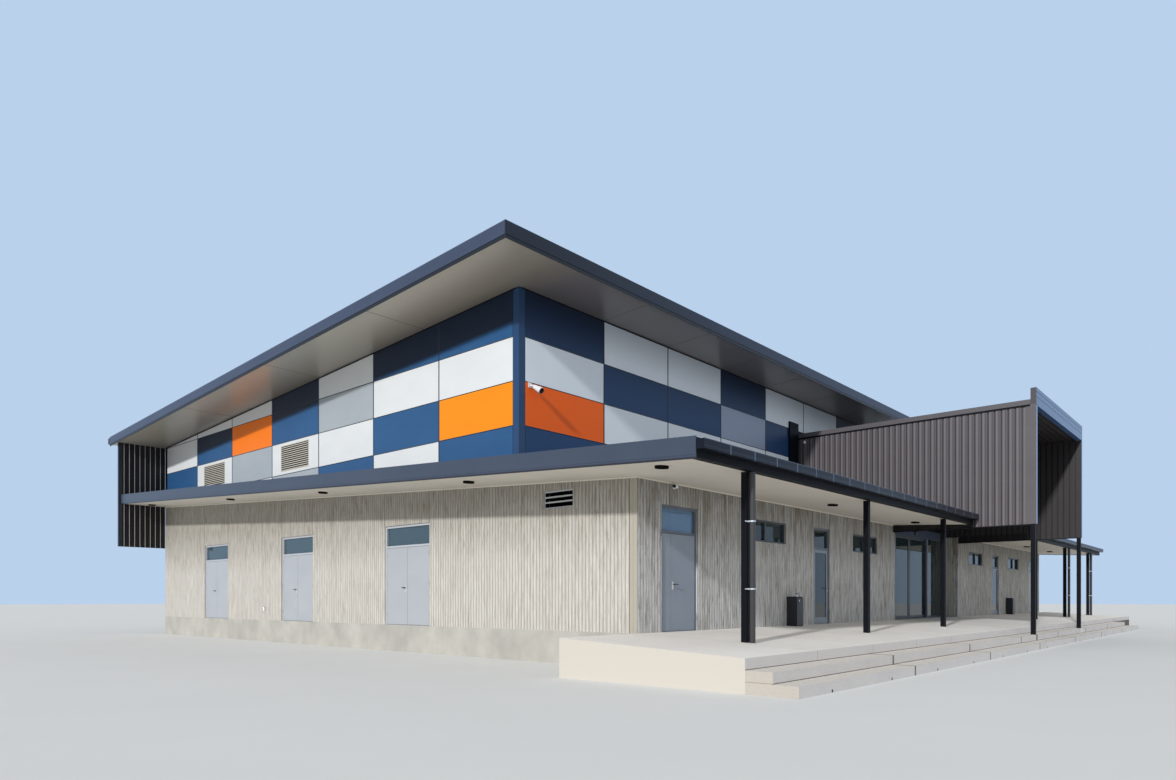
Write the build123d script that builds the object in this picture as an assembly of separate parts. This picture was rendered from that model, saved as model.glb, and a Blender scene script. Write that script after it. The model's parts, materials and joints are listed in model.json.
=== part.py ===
from build123d import *
from math import radians, tan
import os

os.makedirs("parts", exist_ok=True)

# Driving dimensions, in millimetres. x runs along the front from its west corner,
# y runs back from the front wall's face, and z is measured from the floor inside.
LENGTH = 35200
DEPTH = 24550
MIDDLE = LENGTH / 2
COURT = -725
WALL = 200

# The low roof rises three degrees to the back, and the hall's roof falls as much.
PITCH = tan(radians(3))
CANOPY_SOFFIT = 3200
CANOPY_THICK = 340
MAIN_SOFFIT = 8188
MAIN_THICK = 240
SHEET = 20

# Ribs of the roof sheets, which run down the slopes.
ROOF_RIB_WIDE = 35
ROOF_RIB_HIGH = 32
ROOF_RIB_PITCH = 600

# Reach of the low roof and of the hall's roof past the walls.
CANOPY_SIDE = 1650
CANOPY_FRONT = 2520
BEAM_WIDTH = 150
MAIN_SIDE = 1850
MAIN_FRONT_Y = 1930
MAIN_BACK = 25200
UPPER_FRONT = 3490

# Edge boards of both roofs.
FASCIA_THICK = 20
FASCIA_MITRE = 2
LIP_SETBACK = 8
MAIN_FASCIA_UP = 300
MAIN_FASCIA_DOWN = 65
MAIN_FASCIA_LIP = 80
CANOPY_FASCIA_DOWN = 25
CANOPY_FASCIA_LIP = 70
GUTTER_WIDE = 170
GUTTER_HIGH = 165
GUTTER_SKIN = 4
GUTTER_DROP = 40
BACK_GUTTER_HIGH = 230

# Veranda, steps and posts.
PAVE_EDGE = -3830
RISE = 180
PAVE_DROP = COURT + 3 * RISE
FIRST_SECTION = 2420
SECTION = 4880
STEP_JOINT = 25
WALL_JOINT = 6
PAVE_WEST = -2300
UPPER_NOSE = -4290
LOWER_NOSE = -4700
UPPER_STEP_X = (PAVE_WEST, 31700)
LOWER_STEP_X = (PAVE_WEST, 32600)
POST = 125
POST_Y = -2300
POST_FIRST = 350
POST_STEP = 5720
INNER_POST = 200
PIPE_R = 55
PIPE_Y = -2440
PIPES = (360, 29300, 34840)
BACK_PIPE_OUT = 90
BACK_PIPES = (6000, LENGTH - 6000)

# Drinking fountains against the front wall.
FOUNTAIN_X = 6430
FOUNTAIN_WIDE = 340
FOUNTAIN_DEEP = 300
FOUNTAIN_HIGH = 770
FOUNTAIN_SLOPE = 40

# Hood over the entrance.
HOOD_HALF = 3600
HOOD_WEST = MIDDLE - HOOD_HALF
HOOD_EAST = MIDDLE + HOOD_HALF
HOOD_FRONT = -4290
HOOD_WALL = 120
HOOD_BOTTOM = 2980
HOOD_TOP = 6750
HOOD_CAP = 150
HOOD_CAP_PROUD = 12
HOOD_CEILING = 6590
HOOD_ROOF_TOP = 6720
HOOD_BOARD = (6555, 7090)
HOOD_BOARD_THICK = 160
HOOD_GROOVES = (6800, 6960)
GROOVE = 12
HOOD_CORNER = 290
HOOD_POST_INSET = 5
HOOD_POST = (HOOD_WEST + HOOD_POST_INSET, -4258)
POST_NOTCH = 12
SHOULDER_WIDE = 680
SHOULDER_DEEP = 60
SHOULDER_TOP = 7110

# Ribbed cladding: wide flats with narrow grooves on the hood, narrow ribs elsewhere.
FLAT_WIDE = 140
RIB_WIDE = 34
RIB_OUT = 24
RIB_PITCH = 190

# Openings in the lower walls: a start and an end along each wall.
HEAD = 2720
LEAF_HEAD = 2110
WINDOW_SILL = 2150
WINDOW_HEAD = 2700
FRONT_DOOR = (840, 2200)
GLAZED_DOOR = (8040, 9070)
FRONT_WINDOWS = ((4420, 6390), (10700, 12640))
ENTRANCE = (14160, LENGTH - 14160)
SIDE_DOORS = ((6880, 8920), (12800, 14800), (18760, 20760))
SIDE_VENT = (1770, 2670, 2730, 3120)
BACK_DOORS = ((6880, 8920), (LENGTH - 8920, LENGTH - 6880))
BACK_WINDOWS = ((12000, 13940), (16630, 18570), (LENGTH - 13940, LENGTH - 12000))

# Doors.
FRAME = 60
FRAME_FACE = 40
FRAME_DEEP = 110
LEAF = 45
GAP = 8
SPLIT = 1230
HANDLE_Z = 1020
PLATE_WIDE = 50
PLATE_OUT = 8
PLATE_DOWN = -110
PLATE_UP = 60
LEVER = 20
LEVER_OUT = 44
LEVER_REACH = 130
LEVER_INSET = 70
FLOOR_GAP = 10
GLASS = 12
STILE = 90
SASH = 45
BAR = 50
BAR_PLACE = 0.47

# Glazed entrance.
GLAZE_Y = 500
GLAZE_DEEP = 60
SLIDE_WEST = 15560
SLIDE_EAST = 18950
SLIDE_MEET = 17200
SLIDE_HEAD = 3030
HEADER_HIGH = 320
SLIDE_SETBACK = 20
SLIDE_LAP = 40
MULLION = 60
LOUVRE_RIM = 30
BLADE = 5
BLADE_RISE = 0.7
VENT_SETBACK = 20
VENT_DEEP = 120
VENT_BLADES = 6
PANEL_BLADES = 12

# Coloured panels of the hall's upper walls.
PANEL = 20
JOINT = 24
MIN_PANEL = 300
CORNER = 200
ROW_LINES = (3735, 4780, 5825, 6870)
FRONT_MODULE = 2860
SIDE_MODULE = 2983
SIDE_START = UPPER_FRONT + 10
PANEL_CLEAR = 10
PANEL_TOP_CLEAR = 5
LOUVRE_WIDE = 1800
LOUVRE_HIGH = 860
LOUVRE_COLUMNS = (3, 5)
LOUVRE_ROW = 1
SCREEN_LOW = 2790
SCREEN_THICK = 100
SCREEN_REACH = 1730

# Colour letters: b blue, w white, g light grey, o orange. Each word is a column,
# from the lowest row up.
SIDE_PATTERN = ("bowb", "wbwb", "bwgw", "gwbb", "wgow", "wwbw", "wbww")
FRONT_PATTERN = (
    "bowb", "bwbw", "bwbw", "bwgb", "bwbw", "bwbw",
    "bwbb", "bwbw", "bbww", "wwbb", "bowb", "bwbw",
)

MID_Y = (MAIN_BACK + GUTTER_WIDE + LOWER_NOSE) / 2
MID_X = (PAVE_WEST + LENGTH + MAIN_SIDE) / 2


def canopy_z(y):
    return CANOPY_SOFFIT + PITCH * y


def main_z(y):
    return MAIN_SOFFIT - PITCH * y


def pave_z(y):
    return PAVE_DROP * y / PAVE_EDGE


def block(x0, x1, y0, y1, z0, z1):
    corner = Box(x1 - x0, y1 - y0, z1 - z0, align=(Align.MIN, Align.MIN, Align.MIN))
    return Pos(x0, y0, z0) * corner


def profile(points, x0, x1):
    """A solid with an outline in y and z, drawn along x."""
    face = Plane.YZ * Polygon(*points, align=None)
    return Pos(x0, 0, 0) * extrude(face, amount=x1 - x0)


def sloped(x0, x1, y0, y1, level, low, high):
    """A slab between two heights above a sloping level."""
    points = [
        (y0, level(y0) + low),
        (y1, level(y1) + low),
        (y1, level(y1) + high),
        (y0, level(y0) + high),
    ]
    return profile(points, x0, x1)


def mirrored(shape):
    """The same piece on the other side of the building's middle."""
    plane = Plane(origin=(MIDDLE, 0, 0), x_dir=(0, 1, 0), z_dir=(1, 0, 0))
    return mirror(shape, about=plane)


def both(shape):
    return [shape, mirrored(shape)]


def ribs_along(start, end, pitch, wide):
    """Start and end of each rib on a run, spaced evenly and clear of both its ends."""
    count = round((end - start) / pitch)
    step = (end - start) / count
    middles = [start + step * n for n in range(1, count)]
    return [(middle - wide / 2, middle + wide / 2) for middle in middles]


def roof_sheets(x0, x1, y0, y1, level, low, high):
    """A sloping roof with ribs that run down its slope."""
    roof = sloped(x0, x1, y0, y1, level, low, high)
    places = ribs_along(x0, x1, ROOF_RIB_PITCH, ROOF_RIB_WIDE)
    return roof + [sloped(a, b, y0, y1, level, high, high + ROOF_RIB_HIGH) for a, b in places]


nodes = {}


def keep(name, *shapes):
    nodes[name] = [solid for shape in shapes for solid in shape.solids()]


# Raised floor on its solid base, down to the court's level.
keep("floor_slab", block(0, LENGTH, 0, DEPTH, COURT, 0))

# Veranda floor, which falls to the steps, and the two steps below it.
pave_points = [(0, 0), (PAVE_EDGE, PAVE_DROP), (PAVE_EDGE, COURT), (0, COURT)]
keep("veranda_floor", profile(pave_points, PAVE_WEST, LENGTH + CANOPY_SIDE))


def step_sections(reach, back, nose, top):
    """Precast lengths of one step, with open joints between them."""
    count = round((reach[1] - FIRST_SECTION) / SECTION)
    length = (reach[1] - FIRST_SECTION) / count
    starts = [reach[0], *[FIRST_SECTION + length * n for n in range(count)]]
    ends = [x - STEP_JOINT for x in starts[1:]] + [reach[1]]
    return [block(start, end, nose, back, COURT, top) for start, end in zip(starts, ends)]


# The upper step is notched round the hood's two posts, which stand on the lower one.
upper_top = PAVE_DROP - RISE
notch_x = (HOOD_POST[0] - POST_NOTCH, HOOD_POST[0] + POST + POST_NOTCH)
notch = block(*notch_x, UPPER_NOSE, HOOD_POST[1] + POST + POST_NOTCH, COURT, upper_top)
upper_sections = []
for section in step_sections(UPPER_STEP_X, PAVE_EDGE, UPPER_NOSE, upper_top):
    upper_sections.append(section - notch - mirrored(notch))
keep("upper_step", *upper_sections)
keep("lower_step", *step_sections(LOWER_STEP_X, UPPER_NOSE, LOWER_NOSE, COURT + RISE))

# Lower front wall: concrete panels between the doorways, with high windows.
front_west = [
    block(0, FRONT_DOOR[0], 0, WALL, 0, CANOPY_SOFFIT),
    block(FRONT_DOOR[1], GLAZED_DOOR[0], 0, WALL, 0, CANOPY_SOFFIT),
    block(GLAZED_DOOR[1], ENTRANCE[0], 0, WALL, 0, CANOPY_SOFFIT)
    + block(ENTRANCE[0] - WALL, ENTRANCE[0], WALL, GLAZE_Y + GLAZE_DEEP, 0, CANOPY_SOFFIT),
]
for index, (start, end) in enumerate(FRONT_WINDOWS):
    front_west[index + 1] -= block(start, end, 0, WALL, WINDOW_SILL, WINDOW_HEAD)
keep("front_wall_west", *front_west)
keep("front_wall_east", *[mirrored(piece) for piece in front_west])

# Lower side walls, whose tops follow the slope of the low roof.
side_edges = [WALL, *[edge for door in SIDE_DOORS for edge in door], DEPTH - WALL]
side_walls = []
for start, end in zip(side_edges[0::2], side_edges[1::2]):
    points = [(start, 0), (end, 0), (end, canopy_z(end)), (start, canopy_z(start))]
    side_walls.append(profile(points, 0, WALL))
vent_start, vent_end, vent_low, vent_high = SIDE_VENT
side_walls[0] -= block(0, WALL, vent_start, vent_end, vent_low, vent_high)
keep("west_wall", *side_walls)
keep("east_wall", *[mirrored(piece) for piece in side_walls])

# Concrete over the doorways.
lintels = []
for start, end in (FRONT_DOOR, GLAZED_DOOR):
    lintels += both(block(start, end, 0, WALL, HEAD, CANOPY_SOFFIT))
for start, end in SIDE_DOORS:
    points = [(start, HEAD), (end, HEAD), (end, canopy_z(end)), (start, canopy_z(start))]
    lintels += both(profile(points, 0, WALL))
for start, end in BACK_DOORS:
    lintels.append(block(start, end, DEPTH - WALL, DEPTH, HEAD, canopy_z(DEPTH - WALL)))
keep("door_lintels", *lintels)

# Back wall, as high as the low roof at the back, in panels with one window each.
back_top = canopy_z(DEPTH - WALL)
back_inner = DEPTH - WALL
panel_edges = [BACK_DOORS[0][1]]
for (_, end), (start, _) in zip(BACK_WINDOWS, BACK_WINDOWS[1:]):
    middle = (start + end) / 2
    panel_edges += [middle - WALL_JOINT / 2, middle + WALL_JOINT / 2]
panel_edges.append(BACK_DOORS[1][0])
back_wall = [
    block(0, BACK_DOORS[0][0], back_inner, DEPTH, 0, back_top),
    block(BACK_DOORS[1][1], LENGTH, back_inner, DEPTH, 0, back_top),
]
for left, right, (start, end) in zip(panel_edges[0::2], panel_edges[1::2], BACK_WINDOWS):
    panel = block(left, right, back_inner, DEPTH, 0, back_top)
    back_wall.append(panel - block(start, end, back_inner, DEPTH, WINDOW_SILL, WINDOW_HEAD))
keep("back_wall", *back_wall)

# Upper walls of the hall, behind the coloured panels.
upper_y0 = UPPER_FRONT + PANEL
upper_y1 = upper_y0 + WALL
front_points = [
    (upper_y0, canopy_z(upper_y0)),
    (upper_y1, canopy_z(upper_y1)),
    (upper_y1, main_z(upper_y1)),
    (upper_y0, main_z(upper_y0)),
]
upper_front = profile(front_points, PANEL, LENGTH - PANEL)
back_outer = DEPTH - PANEL
back_points = [
    (back_inner, back_top),
    (back_outer, back_top),
    (back_outer, main_z(back_outer)),
    (back_inner, main_z(back_inner)),
]
upper_back = profile(back_points, PANEL, LENGTH - PANEL)
end_y0 = upper_y1 + WALL_JOINT
end_y1 = back_inner - WALL_JOINT
side_points = [
    (end_y0, canopy_z(end_y0)),
    (end_y1, canopy_z(end_y1)),
    (end_y1, main_z(end_y1)),
    (end_y0, main_z(end_y0)),
]
keep("upper_walls", upper_front, upper_back, *both(profile(side_points, PANEL, WALL)))

# Steel columns that carry the hall's front wall over the rooms behind the veranda.
columns = []
for x in [POST_FIRST + POST_STEP * n for n in (1, 2)]:
    x0, x1 = x - INNER_POST / 2, x + INNER_POST / 2
    columns += both(block(x0, x1, upper_y0, upper_y0 + INNER_POST, 0, canopy_z(upper_y0)))
keep("inner_columns", *columns)

# Coloured panels: each face is a grid, cut to the roof lines above and below.
panels = {"b": [], "w": [], "g": [], "o": []}
lines = [*ROW_LINES, MAIN_SOFFIT]


def side_cover():
    """The part of a side wall that shows between the two roofs, as thick as a panel."""
    low = CANOPY_THICK + SHEET + PANEL_CLEAR
    points = [
        (UPPER_FRONT, canopy_z(UPPER_FRONT) + low),
        (DEPTH - PANEL_CLEAR, canopy_z(DEPTH) + low),
        (DEPTH - PANEL_CLEAR, main_z(DEPTH) - PANEL_TOP_CLEAR),
        (UPPER_FRONT, main_z(UPPER_FRONT) - PANEL_TOP_CLEAR),
    ]
    return profile(points, 0, PANEL)


def louvre_place(start, end, low, high):
    """The edges in y and z of a louvre in the middle of a panel."""
    y = (start + end) / 2
    z = (low + high) / 2
    return (y - LOUVRE_WIDE / 2, y + LOUVRE_WIDE / 2, z - LOUVRE_HIGH / 2, z + LOUVRE_HIGH / 2)


cover = side_cover()
louvre_places = []
for column, letters in enumerate(SIDE_PATTERN):
    start = max(SIDE_START + column * SIDE_MODULE, UPPER_FRONT + CORNER)
    end = SIDE_START + (column + 1) * SIDE_MODULE
    for row, letter in enumerate(letters):
        low, high = lines[row], lines[row + 1]
        cell = block(0, PANEL, start + JOINT / 2, end - JOINT / 2, low + JOINT / 2, high - JOINT / 2)
        if column in LOUVRE_COLUMNS and row == LOUVRE_ROW:
            place = louvre_place(start, end, low, high)
            cell -= block(0, PANEL, *place)
            louvre_places.append(place)
        shown = cell & cover
        if shown is None or not shown.solids():
            continue
        panels[letter] += [*shown.solids(), *mirrored(shown).solids()]

front_low = canopy_z(UPPER_FRONT) + CANOPY_THICK + SHEET + PANEL_CLEAR
front_high = main_z(UPPER_FRONT) - PANEL_TOP_CLEAR
hood_gap = (HOOD_WEST - HOOD_CAP_PROUD - PANEL_CLEAR, HOOD_EAST + HOOD_CAP_PROUD + PANEL_CLEAR)
for column, letters in enumerate(FRONT_PATTERN):
    start = CORNER + column * FRONT_MODULE
    end = start + FRONT_MODULE
    if column == len(FRONT_PATTERN) - 1:
        end = LENGTH - CORNER
    for row, letter in enumerate(letters):
        low = max(lines[row] + JOINT / 2, front_low)
        high = min(lines[row + 1] - JOINT / 2, front_high)
        left, right = start + JOINT / 2, end - JOINT / 2
        if low < HOOD_TOP and left < MIDDLE:
            right = min(right, hood_gap[0])
        elif low < HOOD_TOP:
            left = max(left, hood_gap[1])
        if right - left > MIN_PANEL:
            panels[letter].append(block(left, right, UPPER_FRONT, UPPER_FRONT + PANEL, low, high))

# The back repeats the front's columns over the concrete, as high as the roof there.
back_low = back_top + PANEL_CLEAR
back_high = main_z(DEPTH) - PANEL_TOP_CLEAR
for column, letters in enumerate(FRONT_PATTERN):
    start = CORNER + column * FRONT_MODULE
    end = start + FRONT_MODULE
    if column == len(FRONT_PATTERN) - 1:
        end = LENGTH - CORNER
    for row, letter in enumerate(letters):
        low = max(lines[row] + JOINT / 2, back_low)
        high = min(lines[row + 1] - JOINT / 2, back_high)
        if high - low > MIN_PANEL / 2:
            cell = block(start + JOINT / 2, end - JOINT / 2, DEPTH - PANEL, DEPTH, low, high)
            panels[letter].append(cell)
keep("panels_blue", *panels["b"])
keep("panels_white", *panels["w"])
keep("panels_grey", *panels["g"])
keep("panels_orange", *panels["o"])

# Folded metal over the corners of the upper walls.
corner_top = main_z(UPPER_FRONT) - 2 * PANEL_CLEAR
corner_end = UPPER_FRONT + CORNER
corner = block(0, CORNER, UPPER_FRONT, UPPER_FRONT + PANEL, front_low, corner_top)
corner += block(0, PANEL, UPPER_FRONT, corner_end, front_low + PANEL_CLEAR, corner_top)
keep("corner_flashings", *both(corner))

# Roof of the hall, with its soffit sheets and edge boards.
roof_x0 = -MAIN_SIDE + FASCIA_THICK
roof_x1 = LENGTH + MAIN_SIDE - FASCIA_THICK
roof_y0 = MAIN_FRONT_Y + FASCIA_THICK
keep("main_soffit", sloped(roof_x0, roof_x1, roof_y0, MAIN_BACK, main_z, 0, SHEET))
main_top = SHEET + MAIN_THICK
keep("main_roof", roof_sheets(roof_x0, roof_x1, roof_y0, MAIN_BACK, main_z, SHEET, main_top))


def fascia_side(x_out, y0, y1, level, down, up, lip):
    """An edge board down a slope: a wide face and a narrow lip set back below it."""
    x_in = x_out + FASCIA_THICK
    face = sloped(x_out, x_in, y0, y1, level, lip - down, up)
    edge = sloped(x_out + LIP_SETBACK, x_in, y0, y1, level, -down, lip - down)
    return face + edge


main_edge = fascia_side(
    -MAIN_SIDE, MAIN_FRONT_Y, MAIN_BACK, main_z, MAIN_FASCIA_DOWN, MAIN_FASCIA_UP, MAIN_FASCIA_LIP
)
front_level = main_z(MAIN_FRONT_Y)
front_x0 = -MAIN_SIDE + FASCIA_THICK + FASCIA_MITRE
front_x1 = LENGTH - front_x0
lip_z = front_level + MAIN_FASCIA_LIP - MAIN_FASCIA_DOWN
face_y = MAIN_FRONT_Y
back_y = MAIN_FRONT_Y + FASCIA_THICK
main_front = block(front_x0, front_x1, face_y, back_y, lip_z, front_level + MAIN_FASCIA_UP)
main_front += block(
    front_x0, front_x1, face_y + LIP_SETBACK, back_y, front_level - MAIN_FASCIA_DOWN, lip_z
)
keep("main_fascia", main_front, *both(main_edge))


def gutter(y0, y1, z0, z1, x0, x1):
    """An open box gutter with thin sides and closed ends."""
    body = block(x0, x1, y0, y1, z0, z1)
    skin = GUTTER_SKIN
    return body - block(x0 + skin, x1 - skin, y0 + skin, y1 - skin, z0 + skin, z1)


gutter_z1 = main_z(MAIN_BACK) + main_top
gutter_z0 = gutter_z1 - BACK_GUTTER_HIGH
back_edge = (MAIN_BACK, MAIN_BACK + GUTTER_WIDE)
keep("main_gutter", gutter(*back_edge, gutter_z0, gutter_z1, -MAIN_SIDE, LENGTH + MAIN_SIDE))

# Low roof: a strip along the front, cut by the hood, and one down each side.
low_x0 = -CANOPY_SIDE + FASCIA_THICK
low_y0 = -CANOPY_FRONT + BEAM_WIDTH
front_strip = (low_x0, HOOD_WEST, low_y0, upper_y0)
side_strip = (low_x0, 0, upper_y0 + WALL_JOINT, DEPTH)
lobby_strip = (HOOD_WEST + WALL_JOINT, HOOD_EAST - WALL_JOINT, GLAZE_Y + GLAZE_DEEP, upper_y0)
roof_top = CANOPY_THICK + SHEET
plate_top = roof_top - ROOF_RIB_HIGH
front_roof = roof_sheets(*front_strip, canopy_z, SHEET, plate_top)
side_roof = roof_sheets(*side_strip, canopy_z, SHEET, plate_top)
lobby_roof = sloped(*lobby_strip, canopy_z, SHEET, roof_top)
keep("canopy_roof", *both(front_roof), *both(side_roof), lobby_roof)
front_soffit = sloped(*front_strip, canopy_z, 0, SHEET)
side_soffit = sloped(*side_strip, canopy_z, 0, SHEET)
keep("canopy_soffit", *both(front_soffit), *both(side_soffit), sloped(*lobby_strip, canopy_z, 0, SHEET))
canopy_edge = fascia_side(
    -CANOPY_SIDE, -CANOPY_FRONT, DEPTH, canopy_z, CANOPY_FASCIA_DOWN, roof_top, CANOPY_FASCIA_LIP
)
keep("canopy_fascia", *both(canopy_edge))

# Steel edge beam under the low roof's front, its gutter and its posts.
beam_z0 = canopy_z(-CANOPY_FRONT)
beam = block(low_x0, HOOD_WEST, -CANOPY_FRONT, low_y0, beam_z0, beam_z0 + CANOPY_THICK)
keep("edge_beam", *both(beam))
gutter_z1 = beam_z0 + CANOPY_THICK - GUTTER_DROP
gutter_z0 = gutter_z1 - GUTTER_HIGH
front_edge = (-CANOPY_FRONT - GUTTER_WIDE, -CANOPY_FRONT)
front_gutter = gutter(*front_edge, gutter_z0, gutter_z1, -CANOPY_SIDE, HOOD_WEST)
keep("front_gutter", *both(front_gutter))


posts = []
y0, y1 = POST_Y - POST / 2, POST_Y + POST / 2
outline = [(y0, pave_z(y0)), (y1, pave_z(y1)), (y1, canopy_z(y1)), (y0, canopy_z(y0))]
for n in range(3):
    x = POST_FIRST + POST_STEP * n
    posts += both(profile(outline, x - POST / 2, x + POST / 2))
keep("veranda_posts", *posts)
post_x, post_y = HOOD_POST
hood_post = block(post_x, post_x + POST, post_y, post_y + POST, COURT + RISE, HOOD_BOTTOM)
keep("hood_posts", *both(hood_post))

# Hood over the entrance: two tall ribbed side walls, a roof between them, cappings on
# the walls and a front board.
low_roof_top = canopy_z(UPPER_FRONT) + roof_top
screen_back = GLAZE_Y + GLAZE_DEEP
wall_top = HOOD_TOP - HOOD_CAP
hood_wall_points = [
    (HOOD_FRONT, HOOD_BOTTOM),
    (0, HOOD_BOTTOM),
    (0, CANOPY_SOFFIT),
    (screen_back, canopy_z(screen_back)),
    (screen_back, canopy_z(screen_back) + roof_top),
    (UPPER_FRONT, low_roof_top),
    (UPPER_FRONT, wall_top),
    (HOOD_FRONT, wall_top),
]


def cladding_plan(x0, x1, y0, y1, corner):
    """A wall in plan, along y: ribs on both faces and a flat folded corner at its start."""
    plan = block(x0 + RIB_OUT, x1 - RIB_OUT, y0, y1, COURT, HOOD_TOP)
    flat = block(x0, x1, y0, y0 + corner, COURT, HOOD_TOP)
    ribs = []
    for low, high in ribs_along(y0 + corner, y1, RIB_PITCH, FLAT_WIDE):
        ribs.append(block(x0, x1, low, high, COURT, HOOD_TOP))
    return plan + [flat, *ribs]


hood_x1 = HOOD_WEST + HOOD_WALL
hood_plan = cladding_plan(HOOD_WEST, hood_x1, HOOD_FRONT, UPPER_FRONT, HOOD_CORNER)
hood_wall = profile(hood_wall_points, HOOD_WEST, hood_x1) & hood_plan
keep("hood_walls", *both(hood_wall))
shoulder_front = UPPER_FRONT - SHOULDER_DEEP
shoulder_points = [
    (shoulder_front, canopy_z(shoulder_front) + roof_top),
    (UPPER_FRONT, low_roof_top),
    (UPPER_FRONT, SHOULDER_TOP),
    (shoulder_front, SHOULDER_TOP),
]
shoulder_x0 = HOOD_WEST - SHOULDER_WIDE
shoulder_x1 = HOOD_WEST - HOOD_CAP_PROUD
keep("hood_shoulders", *both(profile(shoulder_points, shoulder_x0, shoulder_x1)))
board_back = HOOD_FRONT + HOOD_BOARD_THICK
ceiling = (hood_x1, LENGTH - hood_x1)
hood_roof = block(*ceiling, board_back, UPPER_FRONT, HOOD_CEILING, HOOD_ROOF_TOP)
battens = []
for low, high in ribs_along(board_back, UPPER_FRONT, RIB_PITCH, RIB_WIDE):
    battens.append(block(*ceiling, low, high, HOOD_CEILING - RIB_OUT, HOOD_CEILING))
keep("hood_roof", hood_roof + battens)
cap_x0 = HOOD_WEST - HOOD_CAP_PROUD
cap = block(cap_x0, hood_x1, board_back, UPPER_FRONT, wall_top, HOOD_TOP)
keep("hood_cappings", *both(cap))
hood_board = block(HOOD_WEST, HOOD_EAST, HOOD_FRONT, board_back, wall_top, HOOD_BOARD[1])
hood_board += block(*ceiling, HOOD_FRONT, board_back, HOOD_BOARD[0], wall_top)
for z in HOOD_GROOVES:
    hood_board -= block(HOOD_WEST, HOOD_EAST, HOOD_FRONT, HOOD_FRONT + GROOVE, z, z + GROOVE)
keep("hood_fascia", hood_board)
header_top = SLIDE_HEAD + HEADER_HIGH
keep("hood_end_wall", block(*ceiling, GLAZE_Y, screen_back, header_top, HOOD_CEILING - RIB_OUT))

# Dark ribbed screens that hang from the hall's roof past the back corners.
screen_y0 = DEPTH + RIB_OUT
screen_y1 = DEPTH + SCREEN_THICK - RIB_OUT


def screen_sheet(x0, x1, y0, y1):
    """An upright sheet along x, up to the slope of the hall's roof."""
    points = [(y0, SCREEN_LOW), (y1, SCREEN_LOW), (y1, main_z(y1)), (y0, main_z(y0))]
    return profile(points, x0, x1)


screen = screen_sheet(-SCREEN_REACH, 0, screen_y0, screen_y1)
for low, high in ribs_along(-SCREEN_REACH, 0, RIB_PITCH, RIB_WIDE):
    screen += screen_sheet(low, high, DEPTH, DEPTH + SCREEN_THICK)
keep("wing_screens", *both(screen))

# Downpipes beside the veranda's posts, and two at the back that bend to the wall.
def pipe_along(*points):
    """A round pipe through points in y and z, at x = 0."""
    path = Polyline(*[(0, y, z) for y, z in points])
    start = Plane(origin=path @ 0, z_dir=path % 0)
    return sweep(start * Circle(PIPE_R), path=path, transition=Transition.RIGHT)


pipe_foot = pave_z(PIPE_Y + PIPE_R)
front_pipe = pipe_along((PIPE_Y, pipe_foot), (PIPE_Y, beam_z0))
gutter_y = MAIN_BACK + GUTTER_WIDE / 2
pipe_wall_y = DEPTH + BACK_PIPE_OUT
back_pipe_top = main_z(MAIN_BACK) + main_top - BACK_GUTTER_HIGH
bend = back_pipe_top - 3 * PIPE_R
back_pipe = pipe_along(
    (pipe_wall_y, COURT),
    (pipe_wall_y, bend - (gutter_y - pipe_wall_y)),
    (gutter_y, bend),
    (gutter_y, back_pipe_top),
)
downpipes = [Pos(x, 0, 0) * front_pipe for x in PIPES]
keep("downpipes", *downpipes, *[Pos(x, 0, 0) * back_pipe for x in BACK_PIPES])

# Drinking fountains: a box on the floor with a sloping front edge at the top.
fountain_points = [
    (0, pave_z(0)),
    (0, FOUNTAIN_HIGH),
    (-FOUNTAIN_DEEP + FOUNTAIN_SLOPE, FOUNTAIN_HIGH),
    (-FOUNTAIN_DEEP, FOUNTAIN_HIGH - FOUNTAIN_SLOPE),
    (-FOUNTAIN_DEEP, pave_z(-FOUNTAIN_DEEP)),
]
fountain = profile(fountain_points, FOUNTAIN_X, FOUNTAIN_X + FOUNTAIN_WIDE)
keep("drinking_fountains", *both(fountain))


# Door frames, leaves and glass.
def to_west_side(shape):
    """Turns a piece drawn on the front wall onto the west wall."""
    return Rot(0, 0, -90) * mirror(shape, about=Plane.YZ)


def door_jambs(start, end):
    y0, y1 = FRAME_FACE, FRAME_FACE + FRAME_DEEP
    return [block(start, start + FRAME, y0, y1, 0, HEAD), block(end - FRAME, end, y0, y1, 0, HEAD)]


def door_rails(start, end):
    """The head of a door's frame, and the bar between its leaves and the glass above."""
    y0, y1 = FRAME_FACE, FRAME_FACE + FRAME_DEEP
    x0, x1 = start + FRAME, end - FRAME
    bar = block(x0, x1, y0, y1, LEAF_HEAD + GAP, LEAF_HEAD + FRAME)
    return [block(x0, x1, y0, y1, HEAD - FRAME, HEAD), bar]


def transom_glass(start, end):
    y = FRAME_FACE + FRAME_DEEP / 2
    low, high = LEAF_HEAD + FRAME, HEAD - FRAME
    return block(start + FRAME, end - FRAME, y - GLASS / 2, y + GLASS / 2, low, high)


def leaf(start, end):
    return block(start, end, FRAME_FACE, FRAME_FACE + LEAF, FLOOR_GAP, LEAF_HEAD)


def glazed_leaf(start, end):
    low, high = FLOOR_GAP + 2 * STILE, LEAF_HEAD - STILE
    return leaf(start, end) - block(start + STILE, end - STILE, 0, WALL, low, high)


def leaf_glass(start, end):
    y = FRAME_FACE + LEAF / 2
    low, high = FLOOR_GAP + 2 * STILE, LEAF_HEAD - STILE
    return block(start + STILE, end - STILE, y - GLASS / 2, y + GLASS / 2, low, high)


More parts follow.
